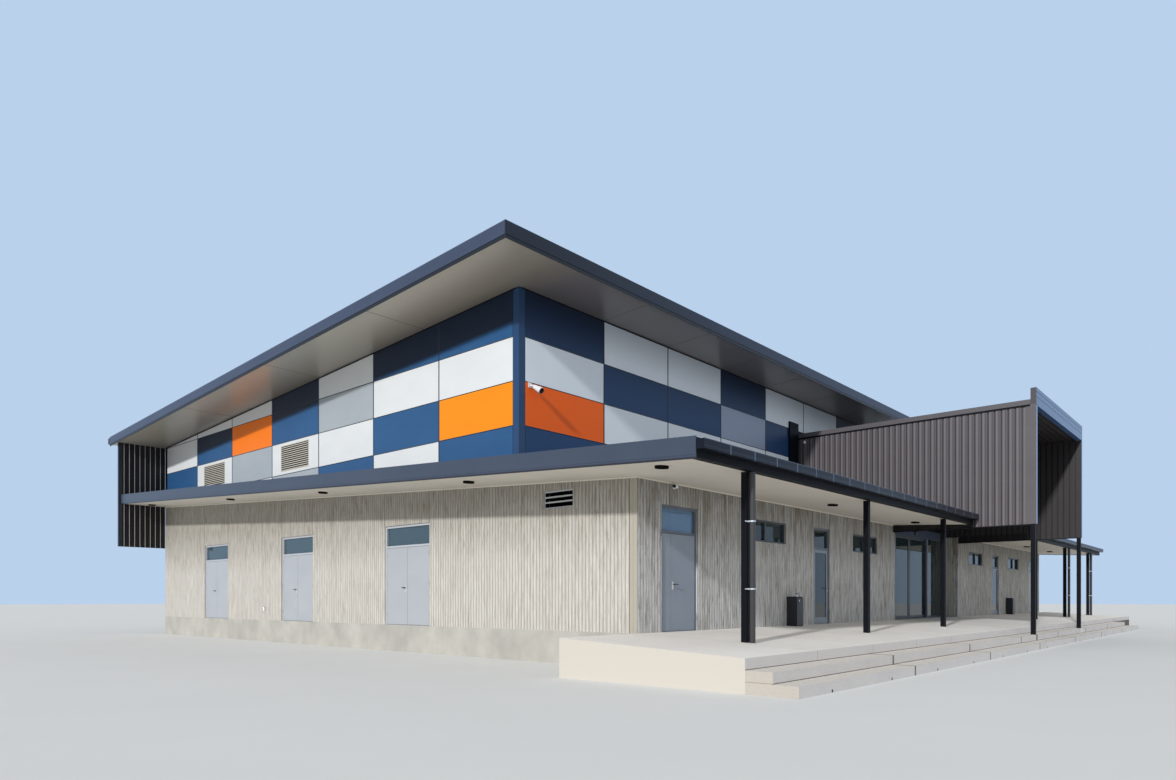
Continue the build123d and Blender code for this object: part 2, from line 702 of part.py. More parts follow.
def lever(x, reach):
    """A lever handle on its plate, outside the leaf. It points the way of its reach."""
    y = FRAME_FACE
    plate_x = (x - PLATE_WIDE / 2, x + PLATE_WIDE / 2)
    plate = block(*plate_x, y - PLATE_OUT, y, HANDLE_Z + PLATE_DOWN, HANDLE_Z + PLATE_UP)
    stem = Pos(x, y - LEVER_OUT / 2, HANDLE_Z) * Rot(90, 0, 0) * Cylinder(LEVER / 2, LEVER_OUT)
    low, high = HANDLE_Z - LEVER / 2, HANDLE_Z + LEVER / 2
    ends = sorted((x, x + reach))
    return plate + stem + block(*ends, y - LEVER_OUT - LEVER, y - LEVER_OUT, low, high)


jambs, rails, panes = [], [], []
turn = Pos(LENGTH, DEPTH, 0) * Rot(0, 0, 180)
for door in (FRONT_DOOR, GLAZED_DOOR):
    for made, pieces in ((jambs, door_jambs(*door)), (rails, door_rails(*door))):
        made += [copy for piece in pieces for copy in both(piece)]
    panes += both(transom_glass(*door))
for door in SIDE_DOORS:
    for made, pieces in ((jambs, door_jambs(*door)), (rails, door_rails(*door))):
        made += [copy for piece in pieces for copy in both(to_west_side(piece))]
    panes += both(to_west_side(transom_glass(*door)))
for door in BACK_DOORS:
    for made, pieces in ((jambs, door_jambs(*door)), (rails, door_rails(*door))):
        made += [turn * piece for piece in pieces]
    panes.append(turn * transom_glass(*door))

inner = (FRONT_DOOR[0] + FRAME, FRONT_DOOR[1] - FRAME)
front_leaf = leaf(SPLIT + GAP / 2, inner[1] - GAP)
keep("front_door_leaf", front_leaf + lever(SPLIT + LEVER_INSET, LEVER_REACH))
keep("front_door_side_leaf", leaf(inner[0] + GAP, SPLIT - GAP / 2))
glazed = (GLAZED_DOOR[0] + FRAME + GAP, GLAZED_DOOR[1] - FRAME - GAP)
glazed_west = glazed_leaf(*glazed) + lever(glazed[1] - STILE / 2, -LEVER_REACH)
keep("glazed_door_west", glazed_west)
keep("glazed_door_east", mirrored(glazed_west))
keep("glazed_pane_west", leaf_glass(*glazed))
keep("glazed_pane_east", mirrored(leaf_glass(*glazed)))

for number, (start, end) in enumerate(SIDE_DOORS, 1):
    middle = (start + end) / 2
    near = leaf(start + FRAME + GAP, middle - GAP / 2)
    far = leaf(middle + GAP / 2, end - FRAME - GAP) + lever(middle + LEVER_INSET, LEVER_REACH)
    keep(f"side_door_{number}_near", to_west_side(near))
    keep(f"side_door_{number}_far", to_west_side(far))


# Door sets that stay shut: on the east side, at the back and at the east end.
def closed_pair(start, end, split):
    near = leaf(start + FRAME + GAP, split - GAP / 2)
    far = leaf(split + GAP / 2, end - FRAME - GAP) + lever(split + LEVER_INSET, LEVER_REACH)
    return [near, far]


closed = [mirrored(piece) for piece in closed_pair(*FRONT_DOOR, SPLIT)]
for start, end in SIDE_DOORS:
    closed += [mirrored(to_west_side(piece)) for piece in closed_pair(start, end, (start + end) / 2)]
for start, end in BACK_DOORS:
    closed += [turn * piece for piece in closed_pair(start, end, (start + end) / 2)]
keep("closed_doors", *closed)


# High windows, each with a bar off its middle.
def window_lights(start, end):
    """The two openings of a window: start, end, low and high."""
    bar = start + (end - start) * BAR_PLACE
    low, high = WINDOW_SILL + SASH, WINDOW_HEAD - SASH
    west = (start + SASH, bar - BAR / 2, low, high)
    east = (bar + BAR / 2, end - SASH, low, high)
    return [west, east]


def window_frame(start, end):
    y0, y1 = FRAME_FACE, FRAME_FACE + FRAME_DEEP
    frame = block(start, end, y0, y1, WINDOW_SILL, WINDOW_HEAD)
    for x0, x1, low, high in window_lights(start, end):
        frame -= block(x0, x1, y0, y1, low, high)
    return frame


def window_panes(start, end):
    y = FRAME_FACE + FRAME_DEEP / 2
    made = []
    for x0, x1, low, high in window_lights(start, end):
        made.append(block(x0, x1, y - GLASS / 2, y + GLASS / 2, low, high))
    return made


window_frames = []
for start, end in FRONT_WINDOWS:
    window_frames += both(window_frame(start, end))
    for pane in window_panes(start, end):
        panes += both(pane)
for start, end in BACK_WINDOWS:
    window_frames.append(turn * window_frame(start, end))
    panes += [turn * pane for pane in window_panes(start, end)]
keep("window_frames", *window_frames)

# Glazed entrance screen: header, side lights, and two sliding leaves behind it.
screen_x0, screen_x1 = ENTRANCE
post_edges = [
    (screen_x0, screen_x0 + MULLION),
    (SLIDE_WEST - MULLION, SLIDE_WEST + MULLION),
    (SLIDE_EAST - MULLION, SLIDE_EAST + MULLION),
    (screen_x1 - MULLION, screen_x1),
]
entrance_posts = [block(x0, x1, GLAZE_Y, screen_back, 0, SLIDE_HEAD) for x0, x1 in post_edges]
glass_y = (GLAZE_Y + screen_back) / 2
side_lights = ((post_edges[0][1], post_edges[1][0]), (post_edges[2][1], post_edges[3][0]))
header = block(screen_x0, screen_x1, GLAZE_Y, screen_back, SLIDE_HEAD, header_top)
sills = [block(x0, x1, GLAZE_Y, screen_back, 0, MULLION) for x0, x1 in side_lights]
keep("entrance_rails", header, *sills)
for x0, x1 in side_lights:
    panes.append(block(x0, x1, glass_y - GLASS / 2, glass_y + GLASS / 2, MULLION, SLIDE_HEAD))
keep("fixed_glass", *panes)
keep("door_jambs", *jambs, *entrance_posts)
keep("door_rails", *rails)


def sliding_leaf(x0, x1):
    y0 = screen_back + SLIDE_SETBACK
    whole = block(x0, x1, y0, y0 + LEAF, FLOOR_GAP, SLIDE_HEAD + SLIDE_LAP)
    low, high = FLOOR_GAP + STILE, SLIDE_HEAD - STILE
    return whole - block(x0 + STILE, x1 - STILE, y0, y0 + LEAF, low, high)


def sliding_pane(x0, x1):
    y = screen_back + SLIDE_SETBACK + LEAF / 2
    low, high = FLOOR_GAP + STILE, SLIDE_HEAD - STILE
    return block(x0 + STILE, x1 - STILE, y - GLASS / 2, y + GLASS / 2, low, high)


leaf_west = (SLIDE_WEST + MULLION - SLIDE_LAP, SLIDE_MEET - GAP / 2)
leaf_east = (SLIDE_MEET + GAP / 2, SLIDE_EAST - MULLION + SLIDE_LAP)
keep("sliding_leaf_west", sliding_leaf(*leaf_west))
keep("sliding_leaf_east", sliding_leaf(*leaf_east))
keep("sliding_pane_west", sliding_pane(*leaf_west))
keep("sliding_pane_east", sliding_pane(*leaf_east))


# Louvres: sloping blades in a frame, in the side walls and among the panels.
def louvre(y0, y1, z0, z1, x0, depth, blades):
    rim = LOUVRE_RIM
    frame = block(x0, x0 + depth, y0, y1, z0, z1)
    frame -= block(x0, x0 + depth, y0 + rim, y1 - rim, z0 + rim, z1 - rim)
    pitch = (z1 - z0 - 2 * rim) / blades
    for n in range(blades):
        low = z0 + rim + pitch * (n + (1 - BLADE_RISE) / 2)
        high = low + pitch * BLADE_RISE
        corners = [(x0, low), (x0 + BLADE, low), (x0 + depth, high), (x0 + depth - BLADE, high)]
        outline = Plane.XZ * Polygon(*corners, align=None)
        frame += Pos(0, y1, 0) * extrude(outline, amount=y1 - y0)
    return frame


vent = louvre(*SIDE_VENT, VENT_SETBACK, VENT_DEEP, VENT_BLADES)
louvres = both(vent)
for place in louvre_places:
    louvres += both(louvre(*place, 0, PANEL, PANEL_BLADES))
keep("louvres", *louvres)

for name, solids in nodes.items():
    moved = [Pos(-MID_X, -MID_Y, -COURT) * solid for solid in solids]
    shape = moved[0] if len(moved) == 1 else Compound(moved)
    export_step(shape, f"parts/{name}.step")
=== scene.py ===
import json
from math import cos, pi, radians, tan

import bpy
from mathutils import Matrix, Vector


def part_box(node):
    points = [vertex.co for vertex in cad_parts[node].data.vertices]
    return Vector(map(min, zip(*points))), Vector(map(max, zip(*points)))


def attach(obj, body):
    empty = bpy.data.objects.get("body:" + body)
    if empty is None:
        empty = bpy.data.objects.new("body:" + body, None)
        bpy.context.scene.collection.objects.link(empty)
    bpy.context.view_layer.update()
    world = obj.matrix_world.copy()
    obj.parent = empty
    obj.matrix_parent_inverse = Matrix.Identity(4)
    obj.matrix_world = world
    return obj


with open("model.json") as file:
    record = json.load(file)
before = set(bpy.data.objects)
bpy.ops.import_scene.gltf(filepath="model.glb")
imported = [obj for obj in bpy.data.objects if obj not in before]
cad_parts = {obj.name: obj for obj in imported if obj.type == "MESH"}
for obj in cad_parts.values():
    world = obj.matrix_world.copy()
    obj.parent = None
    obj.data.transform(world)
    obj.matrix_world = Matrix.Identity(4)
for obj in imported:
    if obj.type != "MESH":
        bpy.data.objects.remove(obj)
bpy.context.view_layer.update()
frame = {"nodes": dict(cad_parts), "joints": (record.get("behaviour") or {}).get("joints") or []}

cad = frame["nodes"]

# The stage: a plain pale floor at the building's foot, sunlight from the west, a soft sky.
# The camera stands where the photo was taken from, level, with the frame shifted upwards.
CAMERA_PLACE = (-12.611, -9.833, 0.695)
CAMERA_TURN = radians(41.534 - 90)
CAMERA_SHIFT = 0.1781
STAGE_SIZE = 500
SUN_FROM = (-0.899, -0.189, 0.396)
SUN_POWER, SKY_POWER = 2.4, 0.56
slab_low, slab_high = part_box("floor_slab")
west, south, floor = slab_low.x, slab_low.y, slab_high.z
length, depth = slab_high.x - west, slab_high.y - south


def at(x, y, z):
    """A place on the building, in metres from its front west corner at floor level."""
    return Vector((west + x, south + y, floor + z))


def put_camera():
    lens = bpy.data.cameras.new("view")
    lens.sensor_width = 36
    lens.lens = 24
    lens.shift_y = CAMERA_SHIFT
    lens.clip_end = STAGE_SIZE
    camera = bpy.data.objects.new("view", lens)
    camera.location = at(*CAMERA_PLACE)
    camera.rotation_euler = (pi / 2, 0, CAMERA_TURN)
    bpy.context.scene.collection.objects.link(camera)
    bpy.context.scene.camera = camera


def paint(red, green, blue):
    """A colour given as it looks on a screen, from 0 to 255, as the shader wants it."""
    shares = [channel / 255 for channel in (red, green, blue)]
    return [s / 12.92 if s <= 0.04045 else ((s + 0.055) / 1.055) ** 2.4 for s in shares] + [1]


class Finish:
    """A material with one shader, whose patterns lie in the building's own coordinates."""

    def __init__(self, name, roughness, metallic=0.0):
        self.material = bpy.data.materials.new(name)
        self.material.use_nodes = True
        self.tree = self.material.node_tree
        self.shader = self.tree.nodes["Principled BSDF"]
        self.shader.inputs["Roughness"].default_value = roughness
        self.shader.inputs["Metallic"].default_value = metallic
        self.place = self.add("ShaderNodeTexCoord").outputs["Object"]
        self.x, self.y, self.z = self.add("ShaderNodeSeparateXYZ", {0: self.place}).outputs

    def add(self, kind, values=(), **settings):
        node = self.tree.nodes.new(kind)
        for setting, value in settings.items():
            setattr(node, setting, value)
        for socket, value in dict(values).items():
            if hasattr(value, "links"):
                self.tree.links.new(value, node.inputs[socket])
            else:
                node.inputs[socket].default_value = value
        return node

    def math(self, operation, first, second=0.0):
        node = self.add("ShaderNodeMath", {0: first, 1: second}, operation=operation)
        return node.outputs[0]

    def plus(self, first, second):
        return self.math("ADD", first, second)

    def minus(self, first, second):
        return self.math("SUBTRACT", first, second)

    def times(self, first, second):
        return self.math("MULTIPLY", first, second)

    def below(self, value, limit):
        """1 where a value is below a limit, and 0 elsewhere."""
        return self.math("LESS_THAN", value, limit)

    def above(self, value, limit):
        """1 where a value is above a limit, and 0 elsewhere."""
        return self.math("GREATER_THAN", value, limit)

    def off(self, value, place):
        """How far a value is from a place, either way."""
        return self.math("ABSOLUTE", self.minus(value, place))

    def stretched(self, x, y, z):
        """The building's coordinates, scaled along each axis."""
        values = {0: self.place, 1: (x, y, z)}
        return self.add("ShaderNodeVectorMath", values, operation="MULTIPLY").outputs[0]

    def noise(self, place, scale, detail=3.0, rough=0.55):
        values = {"Vector": place, "Scale": scale, "Detail": detail, "Roughness": rough}
        return self.add("ShaderNodeTexNoise", values).outputs["Fac"]

    def spread(self, value, low, high):
        """A value from low to high, spread out from 0 to 1."""
        values = {"Value": value, "From Min": low, "From Max": high}
        return self.add("ShaderNodeMapRange", values).outputs["Result"]

    def line(self, value, start, pitch, width):
        """1 on thin lines at every pitch along a coordinate, and 0 between them."""
        steps = self.math("DIVIDE", self.minus(value, start), pitch)
        share = self.math("FRACT", steps)
        near = self.math("MINIMUM", share, self.minus(1.0, share))
        return self.below(near, width / 2 / pitch)

    def between(self, share, *pair):
        """A mix of two colours, each given from 0 to 255 or as an earlier mix."""
        first, second = [paint(*one) if isinstance(one, tuple) else one for one in pair]
        node = self.add("ShaderNodeMix", {0: share, 6: first, 7: second}, data_type="RGBA")
        return node.outputs[2]

    def lay(self, share, colour):
        """Lays a colour over the tint so far, where its share says."""
        self.tint = self.between(share, self.tint, colour)
        self.colour(self.tint)

    def colour(self, value):
        if hasattr(value, "links"):
            self.tree.links.new(value, self.shader.inputs["Base Color"])
        else:
            self.shader.inputs["Base Color"].default_value = value

    def bump(self, height, depth, strength=1.0):
        values = {"Height": height, "Distance": depth, "Strength": strength}
        node = self.add("ShaderNodeBump", values)
        self.tree.links.new(node.outputs["Normal"], self.shader.inputs["Normal"])


def wear(piece, finish):
    """Gives a piece its finish."""
    piece.data.materials.clear()
    piece.data.materials.append(finish.material)


def dress(finish, *names):
    """Gives solids of the building their finish."""
    for name in names:
        wear(cad[name], finish)


put_camera()
bpy.ops.object.select_all(action="DESELECT")
bpy.ops.mesh.primitive_plane_add(size=STAGE_SIZE)
court = bpy.context.object
court.name = "court_floor"
court_finish = Finish("pale_floor", 0.9)
court_patch = court_finish.noise(court_finish.place, 0.4)
court_finish.colour(court_finish.between(court_patch, (222, 222, 220), (228, 228, 226)))
wear(court, court_finish)

key = bpy.data.lights.new("key", "SUN")
key.energy = SUN_POWER
key.angle = radians(3)
key_lamp = bpy.data.objects.new("key", key)
key_lamp.rotation_euler = Vector(SUN_FROM).to_track_quat("Z", "Y").to_euler()
bpy.context.scene.collection.objects.link(key_lamp)


def put_sky():
    """A pale sky, as the camera, metal and glass see it, over a plain soft light."""
    world = bpy.data.worlds.new("sky")
    world.use_nodes = True
    bpy.context.scene.world = world
    nodes, links = world.node_tree.nodes, world.node_tree.links
    soft = nodes["Background"]
    soft.inputs["Color"].default_value = (0.92, 0.96, 1, 1)
    soft.inputs["Strength"].default_value = SKY_POWER
    backdrop = nodes.new("ShaderNodeBackground")
    backdrop.inputs["Color"].default_value = paint(186, 209, 236)
    rays = nodes.new("ShaderNodeLightPath")
    seen = rays.outputs["Is Camera Ray"]
    for ray in ("Is Glossy Ray", "Is Transmission Ray"):
        either = nodes.new("ShaderNodeMath")
        either.operation = "MAXIMUM"
        links.new(seen, either.inputs[0])
        links.new(rays.outputs[ray], either.inputs[1])
        seen = either.outputs[0]
    choice = nodes.new("ShaderNodeMixShader")
    links.new(seen, choice.inputs[0])
    links.new(soft.outputs[0], choice.inputs[1])
    links.new(backdrop.outputs[0], choice.inputs[2])
    links.new(choice.outputs[0], nodes["World Output"].inputs["Surface"])


put_sky()
bpy.context.scene.view_settings.view_transform = "Standard"

# Lower walls of concrete cast against rough-sawn boards stood on end, then left bare.
# Each board printed its own grain and tone. The sides are painted paler and the front lighter low
# down at its west end, as painted sunlight, and both darken towards the low roof as painted shade.
BOARD = 0.1
WALL_THICK = 0.2
DARK_FROM, DARK_TO = 1.6, 3.2
NEAR_FROM, NEAR_TO = 17.0, 12.0
SKIN = 0.002
concrete = Finish("board_formed_concrete", 0.88)


def make_concrete(finish):
    along = finish.plus(finish.x, finish.y)
    boards = finish.math("DIVIDE", along, BOARD)
    board = finish.math("FLOOR", boards)
    across = finish.math("FRACT", boards)
    tone = finish.add("ShaderNodeTexWhiteNoise", {"W": board}, noise_dimensions="1D").outputs["Value"]
    shifted = finish.plus(finish.z, finish.times(tone, 37.0))

    def upright(share, scale, detail, rough):
        """Noise drawn out along the boards."""
        up = finish.times(shifted, share)
        place = finish.add("ShaderNodeCombineXYZ", {0: along, 1: 0.0, 2: up})
        return finish.noise(place.outputs[0], scale, detail, rough)

    grain = upright(0.045, 40.0, 4.0, 0.62)
    dashes = upright(0.07, 27.0, 4.0, 0.66)
    stains = upright(0.3, 2.2, 4.0, 0.6)
    pits = finish.noise(finish.place, 40.0, 3.0, 0.65)
    high = finish.spread(finish.z, floor + DARK_FROM, floor + DARK_TO)
    sides = finish.spread(finish.y, south + WALL_THICK, south + WALL_THICK + 0.01)
    front = finish.minus(1.0, sides)
    near = finish.spread(finish.x, west + NEAR_FROM, west + NEAR_TO)
    finish.tint = finish.between(finish.spread(grain, 0.38, 0.60), (140, 138, 132), (240, 238, 233))
    finish.lay(finish.times(tone, 0.4), (156, 153, 146))
    # Painted sunlight: the front is lighter low down at its west end.
    lift = finish.times(front, finish.times(near, 0.4))
    lift = finish.times(lift, finish.minus(1.0, high))
    finish.lay(lift, (232, 234, 238))
    # Painted shade: the front darkens towards the low roof.
    finish.lay(finish.times(high, finish.times(front, 0.74)), (96, 87, 70))
    blotch = finish.times(finish.spread(stains, 0.5, 0.34), 0.45)
    finish.lay(blotch, (118, 112, 100))
    cool = finish.times(finish.spread(stains, 0.42, 0.62), 0.4)
    finish.lay(cool, (206, 209, 213))
    # Painted sunlight: the sides are paler, less so towards the low roof.
    painted_sun_side = finish.minus(0.66, finish.times(high, 0.26))
    finish.lay(finish.times(sides, painted_sun_side), (206, 199, 188))
    # Painted shade: the sides darken towards the low roof.
    side_painted_shade = finish.times(high, finish.times(sides, 0.45))
    finish.lay(side_painted_shade, (118, 107, 84))
    streaks = finish.times(finish.spread(dashes, 0.53, 0.62), 0.55)
    hush = finish.minus(0.6, finish.times(high, 0.5))
    calm = finish.minus(1.0, finish.times(sides, hush))
    finish.lay(finish.times(streaks, calm), (62, 57, 49))
    pocks = finish.times(finish.spread(pits, 0.64, 0.7), 0.6)
    finish.lay(finish.times(pocks, calm), (74, 68, 58))
    edge = finish.math("MINIMUM", across, finish.minus(1.0, across))
    fin = finish.spread(edge, 0.24, 0.06)
    finish.lay(finish.times(fin, 0.4), (98, 92, 82))
    end = finish.times(front, finish.spread(finish.y, south + SKIN, south + 2 * SKIN))
    edge_x = finish.below(finish.x, west + SKIN)
    finish.lay(finish.times(end, edge_x), (176, 169, 156))
    relief = finish.plus(finish.times(grain, 0.6), finish.times(tone, 0.5))
    finish.bump(finish.minus(relief, fin), 0.007, 1.0)


make_concrete(concrete)
dress(concrete, "front_wall_west", "front_wall_east", "west_wall", "east_wall")
dress(concrete, "back_wall", "door_lintels")

# Base of the building, cast in plain shutters, with the floor trowelled on top of it.
# The shutters left a flat grey face with soft patches and a fine sandy skin.
base_concrete = Finish("plain_cast_concrete", 0.85)
patches = base_concrete.noise(base_concrete.place, 1.3, 5.0)
fine = base_concrete.noise(base_concrete.place, 60.0, 2.0)
share = base_concrete.spread(patches, 0.35, 0.7)
base_concrete.colour(base_concrete.between(share, (168, 165, 157), (190, 187, 178)))
base_concrete.bump(fine, 0.002)
dress(base_concrete, "floor_slab")

# Veranda floor, poured in bays with sawn joints between them and brushed while wet.
# Each bay is half as long as a unit of the step in front of it.
BAY = 2.44
FIRST_JOINT = 0.14
SAWN_WIDE = 0.008
FACE_SKIN = 0.003
FOOT_HIGH = 0.012
UNSAWN_END = 0.1
paving = Finish("brushed_paving", 0.82)
patches = paving.noise(paving.place, 0.7, 5.0)
brush = paving.noise(paving.stretched(3.0, 160.0, 1.0), 1.0, 3.0)
paving.tint = paving.between(paving.spread(patches, 0.35, 0.7), (236, 231, 224), (244, 240, 234))
stones = paving.noise(paving.place, 85.0, 3.0, 0.7)
riser = paving.between(paving.spread(stones, 0.55, 0.66), (222, 219, 218), (152, 148, 144))
veranda_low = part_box("veranda_floor")[0]
at_front = paving.below(paving.y, veranda_low.y + FACE_SKIN)
paving.lay(at_front, riser)
foot = paving.below(paving.z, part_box("upper_step")[1].z + FOOT_HIGH)
paving.lay(paving.times(at_front, foot), (104, 92, 82))
at_end = paving.below(paving.x, veranda_low.x + FACE_SKIN)
paving.lay(at_end, (206, 199, 188))
past_edge = paving.above(paving.x, veranda_low.x + UNSAWN_END)
sawn = paving.times(paving.line(paving.x, west + FIRST_JOINT, BAY, SAWN_WIDE), past_edge)
paving.lay(sawn, (120, 116, 108))
paving.bump(paving.minus(brush, sawn), 0.002, 0.6)
dress(paving, "veranda_floor")

# Precast steps with a fine pebbly face, laid in long units with open joints.
# The face was washed, so that the small stones in it stand a little proud, and the sockets
# by which the units were lifted were left open in the lower riser. No hole is cut for them:
# each is a dark disc of painted shade.
STEP_JOINT_FIRST, STEP_JOINT_DARK = 2.408, 0.075
UPPER_LENGTH, LOWER_LENGTH = 4.88, 5.03
SOCKET_FIRST, SOCKET_STEP, SOCKET_Z, SOCKET_R = -1.2, 2.44, -0.70, 0.026
NOTCH_SIDE = 14.142
TREAD_SKIN = 0.001
CORNER_MIDDLE, CORNER_HALF = 0.008, 0.006
precast = Finish("precast_steps", 0.8)
speck = precast.noise(precast.place, 85.0, 3.0, 0.7)
patches = precast.noise(precast.place, 1.1, 4.0)
precast.tint = precast.between(precast.spread(patches, 0.3, 0.75), (217, 214, 213), (226, 223, 222))
upper_tread, lower_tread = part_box("upper_step")[1].z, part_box("lower_step")[1].z
for tread in (upper_tread, lower_tread):
    off = precast.off(precast.z, tread)
    precast.lay(precast.below(off, TREAD_SKIN), (222, 215, 206))
precast.lay(precast.spread(speck, 0.55, 0.66), (150, 145, 138))
on_lower = precast.below(precast.z, lower_tread + TREAD_SKIN)
# The joints are painted dark wider than they are cut: the open joint, and painted shadow on the end of
# the next unit beside it.
upper_joints = precast.line(precast.x, west + STEP_JOINT_FIRST, UPPER_LENGTH, STEP_JOINT_DARK)
lower_joints = precast.line(precast.x, west + STEP_JOINT_FIRST, LOWER_LENGTH, STEP_JOINT_DARK)
lower_joints = precast.times(lower_joints, on_lower)
upper_joints = precast.times(upper_joints, precast.minus(1.0, on_lower))
joints = precast.math("MAXIMUM", lower_joints, upper_joints)
precast.lay(precast.times(joints, 0.8), (84, 68, 54))
over_tread = precast.minus(precast.z, lower_tread)
in_corner = precast.below(precast.off(over_tread, CORNER_MIDDLE), CORNER_HALF)
precast.lay(in_corner, (98, 84, 72))
ends = precast.below(precast.x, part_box("upper_step")[0].x + FACE_SKIN)
precast.lay(precast.times(ends, 0.7), (176, 166, 150))
# Painted shade: a dark disc for each open lifting socket.
past_first = precast.minus(precast.x, west + SOCKET_FIRST - SOCKET_STEP / 2)
share = precast.math("FRACT", precast.math("DIVIDE", past_first, SOCKET_STEP))
across = precast.times(precast.minus(share, 0.5), SOCKET_STEP)
upward = precast.minus(precast.z, floor + SOCKET_Z)
apart = precast.plus(precast.times(across, across), precast.times(upward, upward))
socket = precast.below(apart, SOCKET_R * SOCKET_R)
precast.lay(socket, (28, 24, 20))
# Painted shadow on the sides of the notches round the hood's posts.
from_middle = precast.off(precast.x, west + length / 2)
off_notch = precast.off(from_middle, length / 2 - NOTCH_SIDE)
precast.lay(precast.below(off_notch, SKIN), (70, 66, 60))
precast.bump(speck, 0.002)
dress(precast, "upper_step", "lower_step")


# Coated flat panels of the hall's upper walls, in four colours, hung on a dark core.
# They are factory-coated sheets, fixed from behind, so that no screw shows.
def coated(name, colour, worn, roughness=0.38, shine=0.5):
    """A factory-coated sheet: one colour, a little uneven, with the faintest ripple."""
    finish = Finish(name, roughness)
    finish.shader.inputs["Specular IOR Level"].default_value = shine
    drift = finish.noise(finish.stretched(0.6, 0.6, 1.4), 1.1, 3.0)
    finish.tint = finish.between(finish.spread(drift, 0.3, 0.75), colour, worn)
    finish.colour(finish.tint)
    ripple = finish.noise(finish.place, 1.7, 2.0)
    finish.bump(ripple, 0.003, 0.5)
    return finish


SLOPE = radians(3)
RISE = tan(SLOPE)
EAVES_Z = 8.188
WALL_FRONT = 3.49
FRONT_SKIN, WEST_SKIN = 0.019, 0.021
BAND_FROM, BAND_TO = 0.83, 0.74
FADE_FROM, FADE_TO = 1.9, 0.1
FIRST_ORANGE_END = 6.6


def below_eaves(finish):
    """How far down from the high roof's soffit a place is."""
    slant = finish.plus(finish.times(finish.y, RISE), finish.z)
    return finish.minus(floor + EAVES_Z + RISE * south, slant)


def on_front(finish):
    """1 on the hall's front wall, 0 on its sides and back."""
    return finish.below(finish.y, south + WALL_FRONT + FRONT_SKIN)


panel_blue = coated("panel_blue", (39, 82, 126), (44, 89, 134), 0.38, 0.3)
# Painted shade on the blue: a dark band under the eaves on the west side, and the front darker, most of
# all towards the soffit.
drop = below_eaves(panel_blue)
front = on_front(panel_blue)
on_west = panel_blue.below(panel_blue.x, west + WEST_SKIN)
eaves_shadow = panel_blue.times(on_west, panel_blue.spread(drop, BAND_FROM, BAND_TO))
panel_blue.lay(eaves_shadow, (14, 32, 56))
fade = panel_blue.spread(drop, FADE_FROM, FADE_TO)
front_painted_light = panel_blue.between(fade, (31, 66, 110), (14, 32, 58))
panel_blue.lay(front, front_painted_light)
panel_white = coated("panel_white", (224, 226, 226), (217, 219, 220))
# Painted light on the front's white: a lighter, bluer copy as painted sky light, darker towards the
# soffit as painted shade.
drop = panel_white.spread(below_eaves(panel_white), 0.9, 0.0)
front_painted_light = panel_white.between(drop, (238, 247, 255), (204, 211, 219))
panel_white.lay(on_front(panel_white), front_painted_light)
panel_grey = coated("panel_grey", (160, 167, 172), (168, 175, 180))
# Painted shade: the front's grey is a bluer copy, as in the sky's light.
panel_grey.lay(on_front(panel_grey), (156, 168, 194))
panel_orange = coated("panel_orange", (244, 140, 4), (248, 146, 8), 0.38, 0.25)
past_first = panel_orange.above(panel_orange.y, south + FIRST_ORANGE_END)
panel_orange.lay(past_first, (246, 122, 6))
# Painted shade: the front's orange is a redder copy.
panel_orange.lay(on_front(panel_orange), (255, 106, 16))
dress(panel_blue, "panels_blue")
dress(panel_white, "panels_white")
dress(panel_grey, "panels_grey")
dress(panel_orange, "panels_orange")
core = coated("dark_wall_core", (30, 34, 44), (36, 40, 50), 0.7, 0.2)
dress(core, "upper_walls")

# Folded steel over the hall's corners, in one length from the low roof to the high one.
# It is fixed through the joint beside the panels, in a blue close to theirs.
corner_blue = coated("corner_blue", (35, 66, 104), (40, 72, 111), 0.3, 0.35)
dress(corner_blue, "corner_flashings")

# Edge boards of both roofs and the entrance's header, in slate-coloured coated steel.
# Each board is a folded sheet with a narrow lip below its wide face.
slate = coated("slate_steel", (56, 65, 82), (62, 71, 88), 0.36, 0.5)
dress(slate, "entrance_rails")
LOW_EAVES_Z = 3.2
CANOPY_DOWN, LOW_LIP = 0.025, 0.035
low_slate = coated("low_slate_steel", (56, 65, 82), (62, 71, 88), 0.36, 0.5)
# Painted shade: the fascia's lip below its wide face is darker.
slant = low_slate.minus(low_slate.z, low_slate.times(low_slate.y, RISE))
lip = low_slate.below(slant, floor + LOW_EAVES_Z - RISE * south - CANOPY_DOWN + LOW_LIP)
low_slate.lay(lip, (34, 34, 42))
dress(low_slate, "canopy_fascia")
high_slate = coated("high_slate_steel", (52, 61, 82), (58, 68, 90), 0.36, 0.4)
FASCIA_FRONT, FASCIA_SKIN = 1.93, 0.021
HIGH_LIP = -0.0155
# Painted shade: the front of the high fascia is darker, most of all near the west corner, and its lip is
# near black.
along_front = high_slate.spread(high_slate.x, west + 1.0, west + 15.0)
front_painted_light = high_slate.between(along_front, (23, 28, 42), (42, 51, 76))
at_front = high_slate.below(high_slate.y, south + FASCIA_FRONT + FASCIA_SKIN)
high_slate.lay(at_front, front_painted_light)
lip = high_slate.above(below_eaves(high_slate), HIGH_LIP)
high_slate.lay(lip, (20, 22, 27))
dress(high_slate, "main_fascia")

# Gutters of folded steel, open at the top, in a darker and smoother coat.
# The roof sheets run down into them and are painted a little lighter.
gutter_steel = coated("gutter_steel", (11, 16, 29), (14, 20, 35), 0.32, 0.22)
dress(gutter_steel, "main_gutter", "front_gutter")
roofing = coated("roof_sheet", (70, 75, 88), (80, 85, 97), 0.45)
dress(roofing, "main_roof", "canopy_roof")

# Soffits of both roofs: painted boards, warm off-white below and duller on the high roof.
# They are nailed up under the roof's frame, with covered joints.
soffit_paint = coated("soffit_paint", (214, 207, 195), (221, 214, 203), 0.6)
dress(soffit_paint, "canopy_soffit")
high_soffit = coated("high_soffit_paint", (154, 148, 135), (162, 156, 143), 0.3, 0.7)
